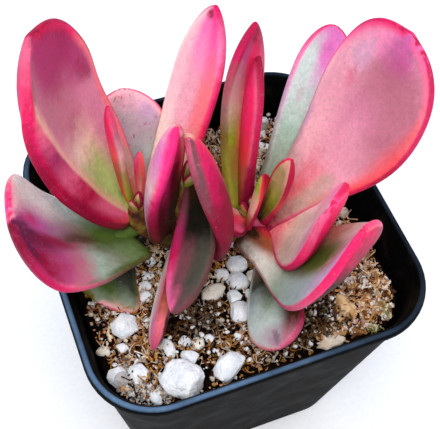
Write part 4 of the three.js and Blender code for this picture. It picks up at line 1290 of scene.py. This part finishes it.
leaf(
    "leaf_right_paddle", at=(8.1, -4.6, 70.4), heading=3, rise=38, curl=43, bow=1.08,
    sweep=8, length=53, width=29, roll=-7, twist=5, cup=6, wide=0.67, neck=0.34, waist=2.03,
    point=0.38, thick=4, ripple=0.3,
    upper=("clay petal petal blush blush bubble", "rust salmon blush tearose mauve thistle",
           "garnet clay blush mauve mauve tearose"),
    under=("garnet garnet hot hot hot", "garnet garnet crimson magenta hot"),
    margins=("clay clay lilac petal candy hot", "garnet clay coral coral salmon candy", 2.2),
    line=("clay petal coral coral hot magenta magenta",
          "garnet rose hot crimson magenta magenta crimson", 0.65),
    marks=[(0.9, -0.2, 0.14, 0.45, "heather", 0.5), (0.8, 0.55, 0.12, 0.3, "lilac", 0.5),
           (0.8, -0.4, 0.13, 0.4, "mauve", 0.7), (0.67, 0.45, 0.05, 0.14, "rose", 0.5),
           (0.56, -0.95, 0.26, 0.3, "coral", 0.7), (0.3, -0.5, 0.07, 0.25, "clay", 0.6),
           (0.2, 0.6, 0.12, 0.5, "sage", 0.35)],
)
leaf(
    "leaf_right_behind", at=(7.6, -2.7, 70.2), heading=37, rise=23, curl=0, bow=0.96,
    sweep=16, length=46, width=14.6, roll=15, twist=17, cup=27, gain=-7, wide=0.72, neck=0.34,
    waist=1.66, point=0.48, thick=3.6,
    upper=("sage sage jade haze haze thistle", "sage sage jade haze orchid thistle",
           "moss sage jade haze orchid thistle"),
    under=("moss sage haze orchid", "moss sage haze orchid"),
    margins=("sage jade jade haze petal candy", "sage sage haze lilac orchid hot", 0.8),
    line=("sage sage haze lilac candy magenta", "moss sage ash orchid magenta crimson", 0.6),
    marks=[(0.6, 0.55, 0.06, 0.2, "ash", 0.6), (0.85, 0.2, 0.09, 0.5, "thistle", 0.7)],
)
leaf(
    "leaf_right_spoon", at=(10.1, -5.7, 70.3), heading=-63, rise=24, curl=67, bow=1.08,
    sweep=-19, length=25, width=22.5, roll=17, twist=12, cup=11, gain=-15, wide=0.6, neck=0.37,
    waist=1.67, point=0.37, thick=3.8, ripple=0.2,
    upper=("peach petal petal petal bubble bubble", "rose salmon cream shell petal blush",
           "rose salmon clay sand tearose blush"),
    under=("garnet garnet bubble candy hot hot", "garnet garnet garnet crimson crimson hot"),
    margins=("salmon salmon petal candy coral candy", "crimson rose rose rose hot candy", 1.1),
    line=("salmon salmon candy bubble hot hot", "crimson crimson magenta crimson hot rose", 0.6),
    marks=[(0.99, 0.8, 0.02, 0.12, "pale", 0.9), (0.5, 0.0, 0.16, 0.35, "sand", 0.5)],
)
# The moss mark down its middle is a painted shadow of the spoon leaf above it.
leaf(
    "leaf_right_elbow", at=(3.9, -6.1, 68.1), heading=-69, rise=13, curl=82, bow=1.1,
    sweep=1, length=46.5, width=23.3, roll=17, twist=-11, cup=7, gain=-14, wide=0.56, neck=0.36,
    waist=2.45, point=0.57, thick=4, ripple=0.2,
    upper=("garnet flame rust sand tearose petal", "bark rust umber olive tearose petal",
           "umber pale sage mist lilac orchid"),
    under=("garnet garnet crimson wine wine hot", "wine wine garnet wine bark hot"),
    margins=("wine wine garnet clay salmon salmon", "bark clay dusk mauve neon hot", 0.7),
    line=("wine garnet garnet rose candy hot", "bark clay garnet rose hot hot", 0.5),
    marks=[(0.56, 0.05, 0.17, 0.5, "moss", 0.75), (0.55, -0.65, 0.2, 0.3, "mist", 0.5)],
)
# It lies under the elbow leaf: its night and shade tones and its shade mark are painted shade over its own
# grey-green.
leaf(
    "leaf_right_low", at=(8.2, -7.8, 62.3), heading=-107, rise=12, curl=-8, bow=0.88,
    sweep=0, length=26.5, width=13, roll=10, twist=30, cup=7, gain=-5, wide=0.78, neck=0.33,
    waist=1.54, point=0.46, thick=3.6,
    upper=("night night night night umber mauve", "night night night sage haze dusk",
           "umber dun shade mist haze ash"),
    under=("night shade wine wine", "night shade mauve mauve"),
    margins=("night night wine wine garnet tearose", "night clay mist frost clay clay", 0.9),
    line=("night wine wine wine wine rose", "night clay jade frost clay rose", 0.5),
    marks=[(0.45, 0.1, 0.2, 0.6, "shade", 0.6), (0.95, 0.1, 0.05, 0.25, "plum", 0.5)],
)
leaf(
    "leaf_right_stub", at=(4, -5, 71.5), heading=-163, rise=38, curl=2, bow=1, sweep=-3,
    length=9.5, width=8, roll=-9, twist=-5, cup=20, wide=0.64, neck=0.41, waist=1.2, point=0.5,
    thick=2.6,
    upper=("rust garnet rose magenta", "rust coral hot hot", "clay peach coral rose"),
    under=("wine garnet crimson", "wine garnet crimson"),
    margins=("bark wine wine crimson", "salmon coral rose", 0.6),
    line=("bark wine wine crimson", "coral coral crimson", 0.3),
)
